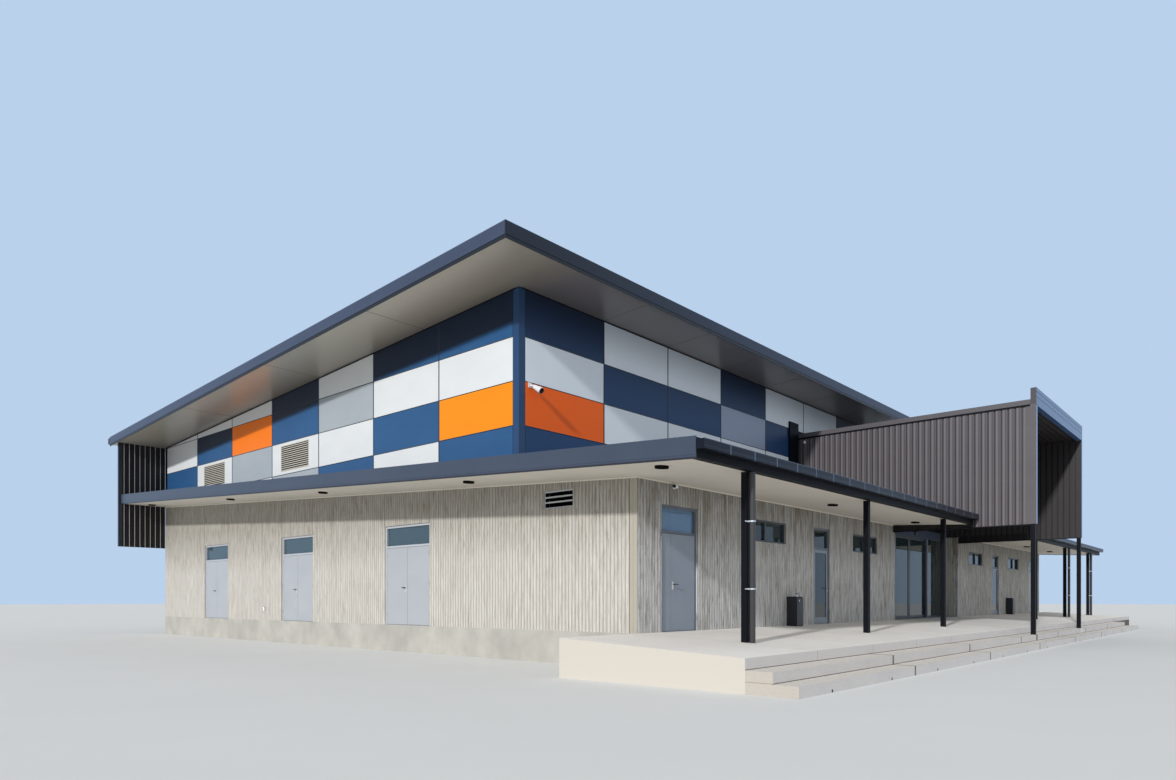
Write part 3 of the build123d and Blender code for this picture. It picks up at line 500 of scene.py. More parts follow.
# Painted light on the high soffit: the sides are paler towards their outer edge, and the front is
# darker, as painted shade.
across = high_soffit.spread(high_soffit.x, west - 1.75, west - 0.1)
side_painted_light = high_soffit.between(across, (192, 185, 167), (160, 151, 136))
along_front = high_soffit.spread(high_soffit.x, west - 0.4, west + 0.8)
high_soffit.colour(high_soffit.between(along_front, side_painted_light, (134, 129, 128)))
dress(high_soffit, "main_soffit")

# Posts and edge beam: square steel sections, welded and painted near black.
# The posts stand straight on the veranda's floor and steps, with their plates cast in.
black_paint = coated("black_paint", (10, 12, 18), (14, 16, 23), 0.5, 0.12)
dress(black_paint, "edge_beam", "veranda_posts", "hood_posts", "inner_columns")

# Hood over the entrance: ribbed taupe steel outside, the same steel painted much darker
# inside its roof, as shade. The board across its front is smooth, and its blue is a painted
# reflection of the sky.
HOOD_WEST, HOOD_EAST = 14.0, length - 14.0
brown_steel = coated("brown_steel", (88, 84, 86), (95, 91, 94), 0.42, 0.4)
dress(brown_steel, "hood_cappings")
wear(cad["downpipes"], coated("pipe_steel", (56, 53, 53), (64, 61, 61), 0.25, 0.5))
RIB_START, RIB_STEP = -4.0, 0.19205
GROOVE_HALF = 0.085
SWAGE_AT, SWAGE_HALF = 0.83, 0.05
CREST_AT, CREST_HALF = 0.16, 0.1
INNER_FACE = 0.06
SHELTER_TOP, SHELTER_FRONT = 3.24, -2.5
lining = coated("lined_steel", (90, 85, 87), (97, 92, 94), 0.42, 0.4)
# Painted light on the ribs: the crests are lighter, as a painted highlight, and the swages and grooves
# darker, as painted shade.
ribs = lining.math("DIVIDE", lining.minus(lining.y, south + RIB_START), RIB_STEP)
share = lining.math("FRACT", ribs)
groove = lining.below(lining.off(share, 0.5), GROOVE_HALF)
swage = lining.below(lining.off(share, SWAGE_AT), SWAGE_HALF)
crest = lining.below(lining.off(share, CREST_AT), CREST_HALF)
plain = lining.tint
lining.lay(crest, (112, 107, 110))
lining.lay(swage, (68, 63, 65))
lining.lay(groove, (46, 42, 44))
behind_corner = lining.above(lining.y, south + RIB_START)
lining.tint = lining.between(behind_corner, plain, lining.tint)
# Painted shade: inside the hood the walls are much darker, most of all in their grooves.
past_west = lining.above(lining.x, west + HOOD_WEST + INNER_FACE)
past_east = lining.below(lining.x, west + HOOD_EAST - INNER_FACE)
within = lining.times(past_west, past_east)
inner_painted_shade = lining.between(groove, (50, 46, 47), (20, 18, 19))
lining.lay(within, inner_painted_shade)
# Painted shade: the outer face below the low roof and behind its gutter is near black.
low = lining.below(lining.z, floor + SHELTER_TOP)
behind_gutter = lining.above(lining.y, south + SHELTER_FRONT)
in_shelter = lining.times(low, behind_gutter)
lining.lay(in_shelter, (26, 23, 25))
dress(lining, "hood_walls")
# Painted shade: the hood's ceiling is a much darker copy of its steel.
shaded_roof_steel = coated("shaded_roof_steel", (42, 38, 38), (49, 44, 44), 0.42, 0.3)
dress(shaded_roof_steel, "hood_roof")
screen_steel = coated("screen_steel", (24, 25, 32), (29, 30, 38), 0.45, 0.3)
SCREEN_REACH, SCREEN_RIBS, SCREEN_RIB = 1.73, 9, 0.022
west_of = screen_steel.minus(west, screen_steel.x)
east_of = screen_steel.minus(screen_steel.x, west + length)
outward = screen_steel.math("MAXIMUM", west_of, east_of)
# Painted highlights: pale lines where the sun catches the screens' ribs.
rib_highlights = screen_steel.line(outward, 0.0, SCREEN_REACH / SCREEN_RIBS, SCREEN_RIB)
screen_steel.lay(rib_highlights, (186, 180, 172))
dress(screen_steel, "wing_screens")
# Painted reflection: the board's front is sky blue; its ends keep the steel's taupe.
board_sky_reflection = coated("hood_board_blue", (68, 99, 142), (76, 107, 150), 0.25)
GROOVES = (6.80, 6.96)
GROOVE = 0.012
# The grooves are cut into the board and also painted dark, as their shade.
for groove in GROOVES:
    under = board_sky_reflection.above(board_sky_reflection.z, floor + groove)
    over = board_sky_reflection.below(board_sky_reflection.z, floor + groove + GROOVE)
    inside = board_sky_reflection.times(under, over)
    board_sky_reflection.lay(inside, (24, 30, 44))
west_end = board_sky_reflection.below(board_sky_reflection.x, west + HOOD_WEST + FACE_SKIN)
east_end = board_sky_reflection.above(board_sky_reflection.x, west + HOOD_EAST - FACE_SKIN)
ends = board_sky_reflection.math("MAXIMUM", west_end, east_end)
board_sky_reflection.lay(ends, (80, 76, 78))
dress(board_sky_reflection, "hood_fascia")
dress(black_paint, "hood_end_wall", "hood_shoulders")
fountain_steel = coated("fountain_steel", (36, 37, 43), (42, 43, 50), 0.35, 0.5)
dress(fountain_steel, "drinking_fountains")

# Steel doors and their frames in a cool grey, and the louvres in pale stone grey.
# What stands proud of a leaf is its furniture: a pale steel plate and a dark lever.
LEAF_FACE = 0.04
PLATE_OUT = 0.008
MARGIN = 0.001
JAMB_REACH = 0.25
BLADE_DEEP = 0.0085


def make_door_paint(name, colour, worn, inward_axis, wall_face):
    """Paint for leaves in a wall whose outer face lies at wall_face on the inward axis."""
    finish = coated(name, colour, worn, 0.4)
    inward = finish.minus(inward_axis(finish), wall_face)
    plate = finish.below(inward, LEAF_FACE - MARGIN)
    lever = finish.below(inward, LEAF_FACE - PLATE_OUT - MARGIN)
    finish.lay(plate, (206, 205, 202))
    finish.lay(lever, (46, 48, 54))
    return finish


front_grey = ((136, 146, 160), (143, 153, 167))
side_grey = ((170, 173, 178), (176, 179, 184))
front_doors = make_door_paint("front_door_paint", *front_grey, lambda finish: finish.y, south)
side_doors = make_door_paint("side_door_paint", *side_grey, lambda finish: finish.x, west)
plain_doors = coated("door_paint", *side_grey, 0.4)
frame_paint = coated("frame_paint", (96, 103, 116), (104, 111, 124), 0.4)
from_middle = frame_paint.off(frame_paint.x, west + length / 2)
on_sides = frame_paint.above(from_middle, length / 2 - JAMB_REACH)
frame_paint.lay(on_sides, (182, 184, 189))
for name in cad:
    if name.startswith("front_door") or name in ("glazed_door_west", "glazed_door_east"):
        wear(cad[name], front_doors)
    if name.startswith("side_door"):
        wear(cad[name], side_doors)
dress(plain_doors, "closed_doors")
dress(frame_paint, "door_jambs", "door_rails")
window_paint = coated("window_paint", (62, 68, 76), (69, 75, 83), 0.35)
dress(window_paint, "window_frames", "sliding_leaf_west", "sliding_leaf_east")
louvre = coated("louvre_paint", (206, 200, 186), (212, 206, 193), 0.5)
# Painted shade: the gaps behind the blades' faces are dark.
from_east = louvre.minus(west + length, louvre.x)
inward = louvre.math("MINIMUM", louvre.minus(louvre.x, west), from_east)
louvre.lay(louvre.above(inward, BLADE_DEEP), (34, 29, 24))
VENT_LOW, VENT_HIGH, VENT_START, VENT_STOP = 2.73, 3.12, 1.77, 2.67
VENT_RIM = 0.03
# Painted shade: inside its pale rim each vent is near black.
off_middle = louvre.minus(louvre.z, floor + (VENT_LOW + VENT_HIGH) / 2)
off_centre = louvre.minus(louvre.y, south + (VENT_START + VENT_STOP) / 2)
rim_z = louvre.above(louvre.math("ABSOLUTE", off_middle), (VENT_HIGH - VENT_LOW) / 2 - VENT_RIM)
rim_y = louvre.above(louvre.math("ABSOLUTE", off_centre), (VENT_STOP - VENT_START) / 2 - VENT_RIM)
rim = louvre.math("MAXIMUM", rim_z, rim_y)
vent_tint = louvre.between(rim, (12, 11, 10), (184, 188, 194))
in_vent = louvre.below(louvre.z, floor + VENT_HIGH + 0.05)
louvre.lay(in_vent, vent_tint)
dress(louvre, "louvres")

# Clear float glass, which shows the sky and the dark hall behind it.
# The panes are held in their frames by dry seals.
FRONT_DOOR_END = 2.3
ENTRANCE_FRONT = 2.0
SIDE_GLASS_FROM, SIDE_GLASS_IN = 0.9, 1.0
glass = Finish("float_glass", 0.03)
# Painted light: the glass is tinted by place, pale blue by the front door and blue-grey over the side
# doors as painted sky reflection, and darker in the entrance as painted shade.
by_front_door = glass.below(glass.x, west + FRONT_DOOR_END)
in_entrance = glass.above(glass.y, south + ENTRANCE_FRONT)
clear = glass.between(in_entrance, (64, 88, 90), (18, 26, 28))
front_painted_light = glass.between(by_front_door, clear, (164, 208, 248))
past_front = glass.above(glass.y, south + SIDE_GLASS_FROM)
over_side_doors = glass.times(past_front, glass.below(glass.x, west + SIDE_GLASS_IN))
glass.colour(glass.between(over_side_doors, front_painted_light, (112, 142, 156)))
glass.shader.inputs["Specular IOR Level"].default_value = 0.35
glass.shader.inputs["Transmission Weight"].default_value = 0.72
glass.shader.inputs["IOR"].default_value = 1.5
dress(glass, "fixed_glass", "glazed_pane_west", "glazed_pane_east")
dress(glass, "sliding_pane_west", "sliding_pane_east")

# Straps that hold the front gutter: flat steel strips folded over its face from lip to
# foot, one at each rafter, in a lighter coat than the gutter.
GUTTER_FACE = -2.69
GUTTER_LOW, GUTTER_HIGH = 3.203, 3.368
STRAP_WIDE, STRAP_THICK, STRAP_STEP = 0.03, 0.004, 0.83
STRAP_FIRST, STRAP_LAST = -0.82, 13.8
STRAP_HOOK, STRAP_FOOT = 0.16, 0.03


def begin(name):
    """Opens a new piece at the origin, ready for its parts to be added in edit mode."""
    bpy.ops.object.select_all(action="DESELECT")
    piece = bpy.data.objects.new(name, bpy.data.meshes.new(name))
    bpy.context.scene.collection.objects.link(piece)
    bpy.context.view_layer.objects.active = piece
    piece.select_set(True)
    bpy.ops.object.mode_set(mode="EDIT")
    return piece


def bar(x0, x1, y0, y1, z0, z1, tilt=0.0):
    """Adds a bar between two corners, tilted down or up to the back."""
    low, high = at(x0, y0, z0), at(x1, y1, z1)
    middle = (low + high) / 2
    bpy.ops.mesh.primitive_cube_add(size=1, location=middle, rotation=(tilt, 0, 0), scale=high - low)


def end(piece, finish, soft=0.002, body="building"):
    """Closes a piece: rounds its edges and gives it its finish and the body it is fixed to."""
    bpy.ops.object.mode_set(mode="OBJECT")
    bpy.ops.object.modifier_add(type="BEVEL")
    bevel = piece.modifiers[-1]
    bevel.width = soft
    bevel.segments = 2
    bpy.ops.object.modifier_apply(modifier=bevel.name)
    wear(piece, finish)
    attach(piece, body)


def strap(x):
    """One strap: its face, its hook over the gutter's lip and its foot below."""
    x0, x1 = x - STRAP_WIDE / 2, x + STRAP_WIDE / 2
    out = GUTTER_FACE - STRAP_THICK
    bar(x0, x1, out, GUTTER_FACE, GUTTER_LOW - STRAP_THICK, GUTTER_HIGH + STRAP_THICK)
    bar(x0, x1, GUTTER_FACE, GUTTER_FACE + STRAP_HOOK, GUTTER_HIGH, GUTTER_HIGH + STRAP_THICK)
    bar(x0, x1, GUTTER_FACE, GUTTER_FACE + STRAP_FOOT, GUTTER_LOW - STRAP_THICK, GUTTER_LOW)


strap_paint = coated("strap_paint", (74, 88, 112), (82, 96, 120), 0.3)
straps = begin("gutter_straps")
x = STRAP_FIRST
while x < STRAP_LAST:
    strap(x)
    strap(length - x)
    x += STRAP_STEP
end(straps, strap_paint, 0.001)

# Rolled lip along the front gutter's mouth and the bead at its foot, which stiffen the
# folded sheet. They are painted lighter than the gutter, as two thin lines of painted highlight.
CANOPY_WEST = -1.65


def both_runs(x0, x1):
    """A run along x, and its mirror image on the other side of the building's middle."""
    return ((x0, x1), (length - x1, length - x0))


lip_highlight_paint = coated("gutter_lip", (52, 62, 82), (58, 68, 88), 0.25)
lips = begin("gutter_lips")
for x0, x1 in both_runs(CANOPY_WEST, HOOD_WEST):
    bar(x0, x1, GUTTER_FACE - 0.003, GUTTER_FACE + 0.012, GUTTER_HIGH - 0.012, GUTTER_HIGH + 0.003)
    bar(x0, x1, GUTTER_FACE - 0.003, GUTTER_FACE, GUTTER_LOW + 0.045, GUTTER_LOW + 0.052)
end(lips, lip_highlight_paint)


# Trim between the concrete and the low roof's soffit: a cream-painted batten that closes
# the joint along the top of every lower wall, nailed up before the boards.
def low_roof(y):
    """Height of the low roof's soffit."""
    return LOW_EAVES_Z + RISE * y


TRIM_END = 14.16
TRIM_HIGH, TRIM_OUT = 0.027, 0.012
trim_paint = coated("cream_trim", (226, 220, 204), (232, 226, 211), 0.5)
trims = begin("wall_head_trims")
for x0, x1 in both_runs(-TRIM_OUT, TRIM_END):
    bar(x0, x1, -TRIM_OUT, 0, low_roof(0) - TRIM_HIGH, low_roof(0) - 0.001)
middle = low_roof(depth / 2) - TRIM_HIGH / 2
side_run = depth / cos(SLOPE) - 0.02
y0, y1 = (depth - side_run) / 2, (depth + side_run) / 2
for x0, x1 in both_runs(-TRIM_OUT, 0):
    bar(x0, x1, y0, y1, middle - TRIM_HIGH / 2, middle + TRIM_HIGH / 2, SLOPE)
end(trims, trim_paint)

# Round downlights let into the low roof's soffit: black rings with a recessed lens.
# Each is a spun cup with a flat flange that hides the hole's edge.
LIGHT_R, LIGHT_OUT = 0.13, 0.045
FLANGE, CUP_DEEP = 0.02, 0.03
LENS_RIM, LENS_OUT = 0.03, 0.008
SIDE_LIGHT_X = -0.9
SIDE_LIGHTS = (4.22, 10.63, 16.53, 23.43)
FRONT_LIGHTS = ((-1.02, -1.36), (6.6, -1.2), (12.7, -1.18), (22.5, -1.2), (27.9, -1.0), (32.9, -0.95))


def faces_facing(piece, test):
    """Selects the faces of the piece in edit mode whose normal passes the test."""
    bpy.ops.mesh.select_all(action="DESELECT")
    bpy.ops.object.mode_set(mode="OBJECT")
    for face in piece.data.polygons:
        face.select = test(face.normal)
    bpy.ops.object.mode_set(mode="EDIT")


def downlight(x, y):
    place = at(x, y, low_roof(y) - LIGHT_OUT / 2)
    bpy.ops.mesh.primitive_cylinder_add(
        vertices=32, radius=LIGHT_R, depth=LIGHT_OUT, location=place, rotation=(SLOPE, 0, 0)
    )


lights = begin("downlights")
for y in SIDE_LIGHTS:
    downlight(SIDE_LIGHT_X, y)
    downlight(length - SIDE_LIGHT_X, y)
for x, y in FRONT_LIGHTS:
    downlight(x, y)
faces_facing(lights, lambda normal: normal.z < -0.9)
bpy.ops.mesh.inset(thickness=FLANGE, use_individual=True)
bpy.ops.transform.translate(value=(0, 0, CUP_DEEP))
bpy.ops.mesh.inset(thickness=LENS_RIM, use_individual=True)
bpy.ops.transform.translate(value=(0, 0, -LENS_OUT))
end(lights, coated("black_plastic", (9, 9, 10), (12, 12, 13), 0.6, 0.08), 0.001)

# Joints of the high roof's soffit: flat strips nailed over the edges of the sheets,
# down the slope at the front and across it at the sides.
STRIP_WIDE, STRIP_THICK = 0.018, 0.004
PANEL_FIRST, PANEL_STEP = 0.2, 2.86
SIDE_STRIPS = (7.10, 12.37, 18.22)
HIGH_FRONT = 1.95
STRIP_REACH, STRIP_CLEAR = -1.82, 0.01


def high_roof(y):
    """Height of the high roof's soffit."""
    return EAVES_Z - RISE * y


strip_paint = coated("soffit_strip", (126, 121, 110), (134, 128, 117), 0.5)
strips = begin("soffit_strips")
y = (HIGH_FRONT + WALL_FRONT) / 2
half = (WALL_FRONT - HIGH_FRONT) / 2 - STRIP_CLEAR
z = high_roof(y)
for n in range(1, 12):
    x = PANEL_FIRST + PANEL_STEP * n
    bar(x - STRIP_WIDE / 2, x + STRIP_WIDE / 2, y - half, y + half, z - STRIP_THICK, z, -SLOPE)
for y in SIDE_STRIPS:
    z = high_roof(y)
    for x0, x1 in both_runs(STRIP_REACH, -STRIP_CLEAR):
        bar(x0, x1, y - STRIP_WIDE / 2, y + STRIP_WIDE / 2, z - STRIP_THICK, z, -SLOPE)
end(strips, strip_paint, 0.001)

# Joiners between the rows of panels: a dark grey aluminium section that sits in each level
# joint and carries the sheet above it, clipped to the dark core.
ROWS = (4.78, 5.825, 6.87)
JOINER_UP, JOINER_HIGH, JOINER_OUT, PANEL_THICK = 0.003, 0.007, 0.002, 0.02
CORNER_WIDE, HOOD_CLEAR, OVER_HOOD = 0.2, 0.03, 6.75
BACK_CLEAR, EAVES_CLEAR = 0.02, 0.06


def row_runs(z):
    """Where a row of the front wall's panels runs: beside the hood, or across above it."""
    if z > OVER_HOOD:
        return ((CORNER_WIDE, length - CORNER_WIDE),)
    return both_runs(CORNER_WIDE, HOOD_WEST - HOOD_CLEAR)


def row_back(z):
    """How far back a row runs on the sides, at most to where the roof comes down on it."""
    return min(depth - BACK_CLEAR, (EAVES_Z - z - EAVES_CLEAR) / RISE)


joiner_metal = coated("joiner_metal", (80, 87, 98), (87, 94, 105), 0.35)
joiners = begin("panel_joiners")
for z in ROWS:
    low, high = z + JOINER_UP, z + JOINER_UP + JOINER_HIGH
    for x0, x1 in row_runs(z):
        bar(x0, x1, WALL_FRONT - JOINER_OUT, WALL_FRONT + PANEL_THICK, low, high)
    for x0, x1 in both_runs(-JOINER_OUT, PANEL_THICK):
        bar(x0, x1, WALL_FRONT + CORNER_WIDE, row_back(z), low, high)
end(joiners, joiner_metal, 0.001)

# Gaskets in the panels' joints: dark rubber strips pushed into every upright joint, and
# under each joiner, a little behind the panels' face.
GASKET, GASKET_BACK = 0.012, 0.003
GASKET_FOOT, GASKET_TOP = 6.76, 0.02
PANEL_FOOT = 0.37
COLUMN_STEP, SIDE_FIRST = 2.983, 3.5
FRONT_COLUMNS, SIDE_COLUMNS = 12, 7
HOOD_NEAR = 0.05


def front_foot(x, over_hood):
    """Where an upright joint of the front wall ends: over the hood, or over the low roof."""
    if HOOD_WEST - HOOD_NEAR < x < HOOD_EAST + HOOD_NEAR:
        return over_hood
    return low_roof(WALL_FRONT) + PANEL_FOOT


gaskets = begin("panel_gaskets")
y0, y1 = WALL_FRONT + GASKET_BACK, WALL_FRONT + PANEL_THICK
for n in range(FRONT_COLUMNS):
    x = PANEL_FIRST + PANEL_STEP * n
    foot, high = front_foot(x, GASKET_FOOT), high_roof(WALL_FRONT) - GASKET_TOP
    bar(x - GASKET, x + GASKET, y0, y1, foot, high)
for n in range(1, SIDE_COLUMNS + 1):
    y = SIDE_FIRST + COLUMN_STEP * n
    for x0, x1 in both_runs(GASKET_BACK, PANEL_THICK):
        bar(x0, x1, y - GASKET, y + GASKET, low_roof(y) + PANEL_FOOT, high_roof(y) - GASKET_TOP)
for z in ROWS:
    for x0, x1 in row_runs(z):
        bar(x0, x1, y0, y1, z - GASKET, z + JOINER_UP)
    for x0, x1 in both_runs(GASKET_BACK, PANEL_THICK):
        bar(x0, x1, WALL_FRONT + CORNER_WIDE, row_back(z), z - GASKET, z + JOINER_UP)
end(gaskets, coated("black_rubber", (20, 22, 26), (24, 26, 30), 0.6, 0.2), 0.0008)

# Slats across the small vents in the side walls: two folded aluminium blades in front of
# the fine ones, screwed to the vent's frame.
SLATS, SLAT_HALF = (2.87, 2.985), 0.018
slat_paint = coated("slat_paint", (176, 178, 180), (182, 184, 186), 0.5)
slats = begin("vent_slats")
for z in SLATS:
    for x0, x1 in both_runs(0.004, 0.018):
        bar(x0, x1, VENT_START + VENT_RIM, VENT_STOP - VENT_RIM, z - SLAT_HALF, z + SLAT_HALF)
end(slats, slat_paint, 0.003)

# Cover strips over the upright joints of the panels: folded navy steel, pressed over the
# joint and held by clips behind it.
COVER, COVER_OUT, COVER_FOOT = 0.021, 0.003, 6.80
cover_steel = coated("cover_steel", (38, 48, 70), (43, 53, 76), 0.35, 0.4)
# Painted shade: the strips on the front are much darker than those on the sides.
cover_steel.lay(on_front(cover_steel), (13, 18, 27))
covers = begin("column_covers")
for n in range(1, FRONT_COLUMNS):
    x = PANEL_FIRST + PANEL_STEP * n
    foot, high = front_foot(x, COVER_FOOT), high_roof(WALL_FRONT) - 0.004
    bar(x - COVER, x + COVER, WALL_FRONT - COVER_OUT, WALL_FRONT, foot, high)
for n in range(1, SIDE_COLUMNS):
    y = SIDE_FIRST + COLUMN_STEP * n
    for x0, x1 in both_runs(-COVER_OUT, 0.0):
        bar(x0, x1, y - COVER, y + COVER, low_roof(y) + PANEL_FOOT + 0.01, high_roof(y) - 0.006)
end(covers, cover_steel, 0.001)

# Closing strips over the back ends of the side walls: black folded steel that meets the
# dark screens.
CLOSER_OUT, CLOSER_WIDE = 0.005, 0.21
closers = begin("back_corner_strips")
foot, high = low_roof(depth) + PANEL_FOOT + 0.01, high_roof(depth) - 0.004
for x0, x1 in both_runs(-CLOSER_OUT, 0.0):
    bar(x0, x1, depth - CLOSER_WIDE, depth - 0.002, foot, high)
end(closers, black_paint, 0.001)

# Head trims along the top of the panels: a black angle pressed up against the high roof's
# soffit, which covers the joint between wall and roof.
HEAD_TRIM, HEAD_OUT = 0.035, 0.006
heads = begin("panel_head_trims")
z = high_roof(WALL_FRONT)
bar(0.1, length - 0.1, WALL_FRONT - HEAD_OUT, WALL_FRONT, z - HEAD_TRIM, z - 0.001)
side_run = (depth - WALL_FRONT - 0.1) / cos(SLOPE)
y = (WALL_FRONT + 0.1 + depth) / 2
z = high_roof(y) - HEAD_TRIM / 2 - 0.002
for x0, x1 in both_runs(-HEAD_OUT, 0.0):
    bar(x0, x1, y - side_run / 2, y + side_run / 2, z - HEAD_TRIM / 2, z + HEAD_TRIM / 2, -SLOPE)
end(heads, black_paint, 0.001)

# Apron flashing where the low roof meets the hall's wall: a folded strip with one leg
# behind the panels and the other laid on the roof sheets.
APRON_UP, APRON_HIGH, APRON_WIDE = 0.36, 0.07, 0.16
apron = begin("apron_flashings")
z = low_roof(WALL_FRONT) + APRON_UP
for x0, x1 in both_runs(0.0, HOOD_WEST - 0.7):
    bar(x0, x1, WALL_FRONT - 0.004, WALL_FRONT, z, z + APRON_HIGH)
    bar(x0, x1, WALL_FRONT - APRON_WIDE, WALL_FRONT - 0.002, z - 0.004, z + 0.002, SLOPE)
y0, y1 = WALL_FRONT + 0.01, depth - 0.02
z = low_roof((y0 + y1) / 2) + APRON_UP
for upright, flat in zip(both_runs(-0.004, 0.0), both_runs(-APRON_WIDE, 0.0)):
    bar(*upright, y0, y1, z, z + APRON_HIGH, SLOPE)
    bar(*flat, y0, y1, z - 0.004, z + 0.002, SLOPE)
end(apron, slate, 0.001)

# Clips that hold the front downpipes to their posts: a galvanised band round the pipe,
# with two ears bolted to a flat arm across the post's face.
CLIP_HEIGHTS = (0.89, 2.15)
PIPE_PLACES = (0.36, 29.3, 34.84)
PIPE_Y, PIPE_R = -2.44, 0.055
POST_FACE = -2.3625
BAND_HALF, BAND_THICK = 0.014, 0.004
galvanised = Finish("galvanised_steel", 0.35, 0.6)
spangle = galvanised.noise(galvanised.place, 30.0, 2.0)
galvanised.colour(galvanised.between(spangle, (190, 194, 198), (224, 227, 230)))


def clip(x, z):
    """The two edges of one band round a pipe."""
    for height in (-BAND_HALF, BAND_HALF):
        place = at(x, PIPE_Y, z + height)
        bpy.ops.mesh.primitive_circle_add(vertices=32, radius=PIPE_R + 0.003, location=place)


clips = begin("pipe_clips")
for x in PIPE_PLACES:
    for z in CLIP_HEIGHTS:
        clip(x, z)
bpy.ops.mesh.select_all(action="SELECT")
bpy.ops.mesh.bridge_edge_loops(type="PAIRS")
bpy.ops.mesh.normals_make_consistent(inside=False)
bpy.ops.object.mode_set(mode="OBJECT")
bpy.ops.object.modifier_add(type="SOLIDIFY")
clips.modifiers[-1].thickness = BAND_THICK
clips.modifiers[-1].offset = 1
bpy.ops.object.modifier_apply(modifier=clips.modifiers[-1].name)
bpy.ops.object.mode_set(mode="EDIT")
for x in PIPE_PLACES:
    for z in CLIP_HEIGHTS:
        bar(x - 0.15, x + 0.07, POST_FACE - 0.012, POST_FACE - 0.006, z - 0.012, z + 0.012)
        for ear in (-PIPE_R - 0.012, PIPE_R + 0.008):
            bar(x + ear, x + ear + 0.006, PIPE_Y + 0.01, POST_FACE - 0.006, z - BAND_HALF, z + BAND_HALF)
        for bolt in (-0.135, 0.055):
            bpy.ops.mesh.primitive_cylinder_add(
                vertices=6, radius=0.008, depth=0.012, location=at(x + bolt, POST_FACE - 0.014, z),
                rotation=(pi / 2, 0, 0),
            )
end(clips, galvanised, 0.0008)

# Folded trims on the hood's front edges: a smooth steel angle that covers the end of each
# ribbed wall, from the board down to the bottom. Its light blue is a painted reflection of the sky.
HOOD_FRONT, HOOD_LOW, HOOD_WALL_TOP, HOOD_WALL = -4.29, 2.98, 6.6, 0.12
EDGE_THICK = 0.004
trim_sky_reflection = coated("hood_trim_blue", (112, 146, 192), (120, 154, 200), 0.2)
hood_trims = begin("hood_edge_trims")
for x0, x1 in both_runs(HOOD_WEST, HOOD_WEST + HOOD_WALL):
    bar(x0, x1, HOOD_FRONT - EDGE_THICK, HOOD_FRONT, HOOD_LOW, HOOD_WALL_TOP - 0.05)
    bar(x0, x1, HOOD_FRONT - EDGE_THICK, HOOD_FRONT + 0.02, HOOD_LOW - EDGE_THICK, HOOD_LOW)
end(hood_trims, trim_sky_reflection, 0.0015)

# Sill flashings under the hood's ribbed walls: a black folded strip that closes the ends
# of the ribs and throws the rain clear.
sills = begin("hood_sills")
for x0, x1 in both_runs(HOOD_WEST, HOOD_WEST + HOOD_WALL):
    bar(x0, x1, HOOD_FRONT + 0.02, -0.01, HOOD_LOW - 0.02, HOOD_LOW)
end(sills, black_paint)

# Shadow gap under the hood's cappings: a recessed black strip over the tops of the ribs.
# It is painted shade, the shadow of the capping's drip edge, all along.
capping_shade_strips = begin("capping_shadow_strips")
for x0, x1 in both_runs(HOOD_WEST - 0.004, HOOD_WEST + 0.02):
    bar(x0, x1, HOOD_FRONT + 0.17, WALL_FRONT - 0.01, HOOD_WALL_TOP - 0.06, HOOD_WALL_TOP)
end(capping_shade_strips, black_paint, 0.001)

# Edge trims of the dark screens past the back corners: a folded channel, near black, down
# the outer edge of each, from the high roof to the screen's foot.
SCREEN_LOW, SCREEN_BACK, CHANNEL_WIDE = 2.79, depth + 0.1, 0.13
screen_trims = begin("screen_edge_trims")
top = high_roof(SCREEN_BACK) - 0.002
for x0, x1 in both_runs(-SCREEN_REACH - EDGE_THICK, -SCREEN_REACH + CHANNEL_WIDE):
    bar(x0, x1, depth - EDGE_THICK, depth, SCREEN_LOW, top)
    bar(x0, x1, SCREEN_BACK, SCREEN_BACK + EDGE_THICK, SCREEN_LOW, top)
    outer = x0 if x0 < 0 else x1 - EDGE_THICK
    bar(outer, outer + EDGE_THICK, depth, SCREEN_BACK, SCREEN_LOW, top)
end(screen_trims, coated("screen_trim", (26, 32, 42), (31, 37, 48), 0.35), 0.001)

# Sealed joints in the concrete: upright lines over the side doors, and one at each front
# corner where the side wall's panel meets the end of the front one.
HEAD = 2.72
SIDE_EDGES = (6.88, 8.92, 12.80, 14.80, 18.76, 20.76)
SEAL_OUT, SEAL_HALF, SEAL_TOP = 0.002, 0.005, 0.03
sealant = coated("joint_sealant", (84, 78, 68), (92, 86, 76), 0.7, 0.2)
seals = begin("concrete_joint_seals")
for y, foot in [(edge, HEAD) for edge in SIDE_EDGES] + [(WALL_THICK, 0.0)]:
    for x in (0.0, length):
        top = low_roof(y) - SEAL_TOP
        bar(x - SEAL_OUT, x + SEAL_OUT, y - SEAL_HALF, y + SEAL_HALF, foot, top)
end(seals, sealant, 0.0008)

# Sills of the doorways: low aluminium strips with a chamfered front, screwed to the floor
# under each leaf, with room for the leaf to swing over them.
SILL_HIGH, SILL_FRONT, SILL_BACK = 0.004, 0.02, 0.16
sill_metal = coated("sill_metal", (150, 152, 154), (160, 162, 164), 0.4)
door_sills = begin("door_sills")
for start, stop in ((0.9, 2.14), (8.1, 9.01)):
    for x0, x1 in both_runs(start, stop):
        bar(x0, x1, SILL_FRONT, SILL_BACK, 0.0, SILL_HIGH)
for start, stop in ((6.94, 8.86), (12.86, 14.74), (18.82, 20.70)):
    for x0, x1 in both_runs(SILL_FRONT, SILL_BACK):
        bar(x0, x1, start, stop, 0.0, SILL_HIGH)
end(door_sills, sill_metal, 0.001)

# Security camera on the upper corner panel: a white bracket, a tapering white body and a
# black face round its lens, turned out from the wall and down.
camera_white = coated("camera_white", (228, 230, 232), (234, 236, 238), 0.35)
camera_black = coated("camera_black", (10, 10, 12), (14, 14, 16), 0.2)


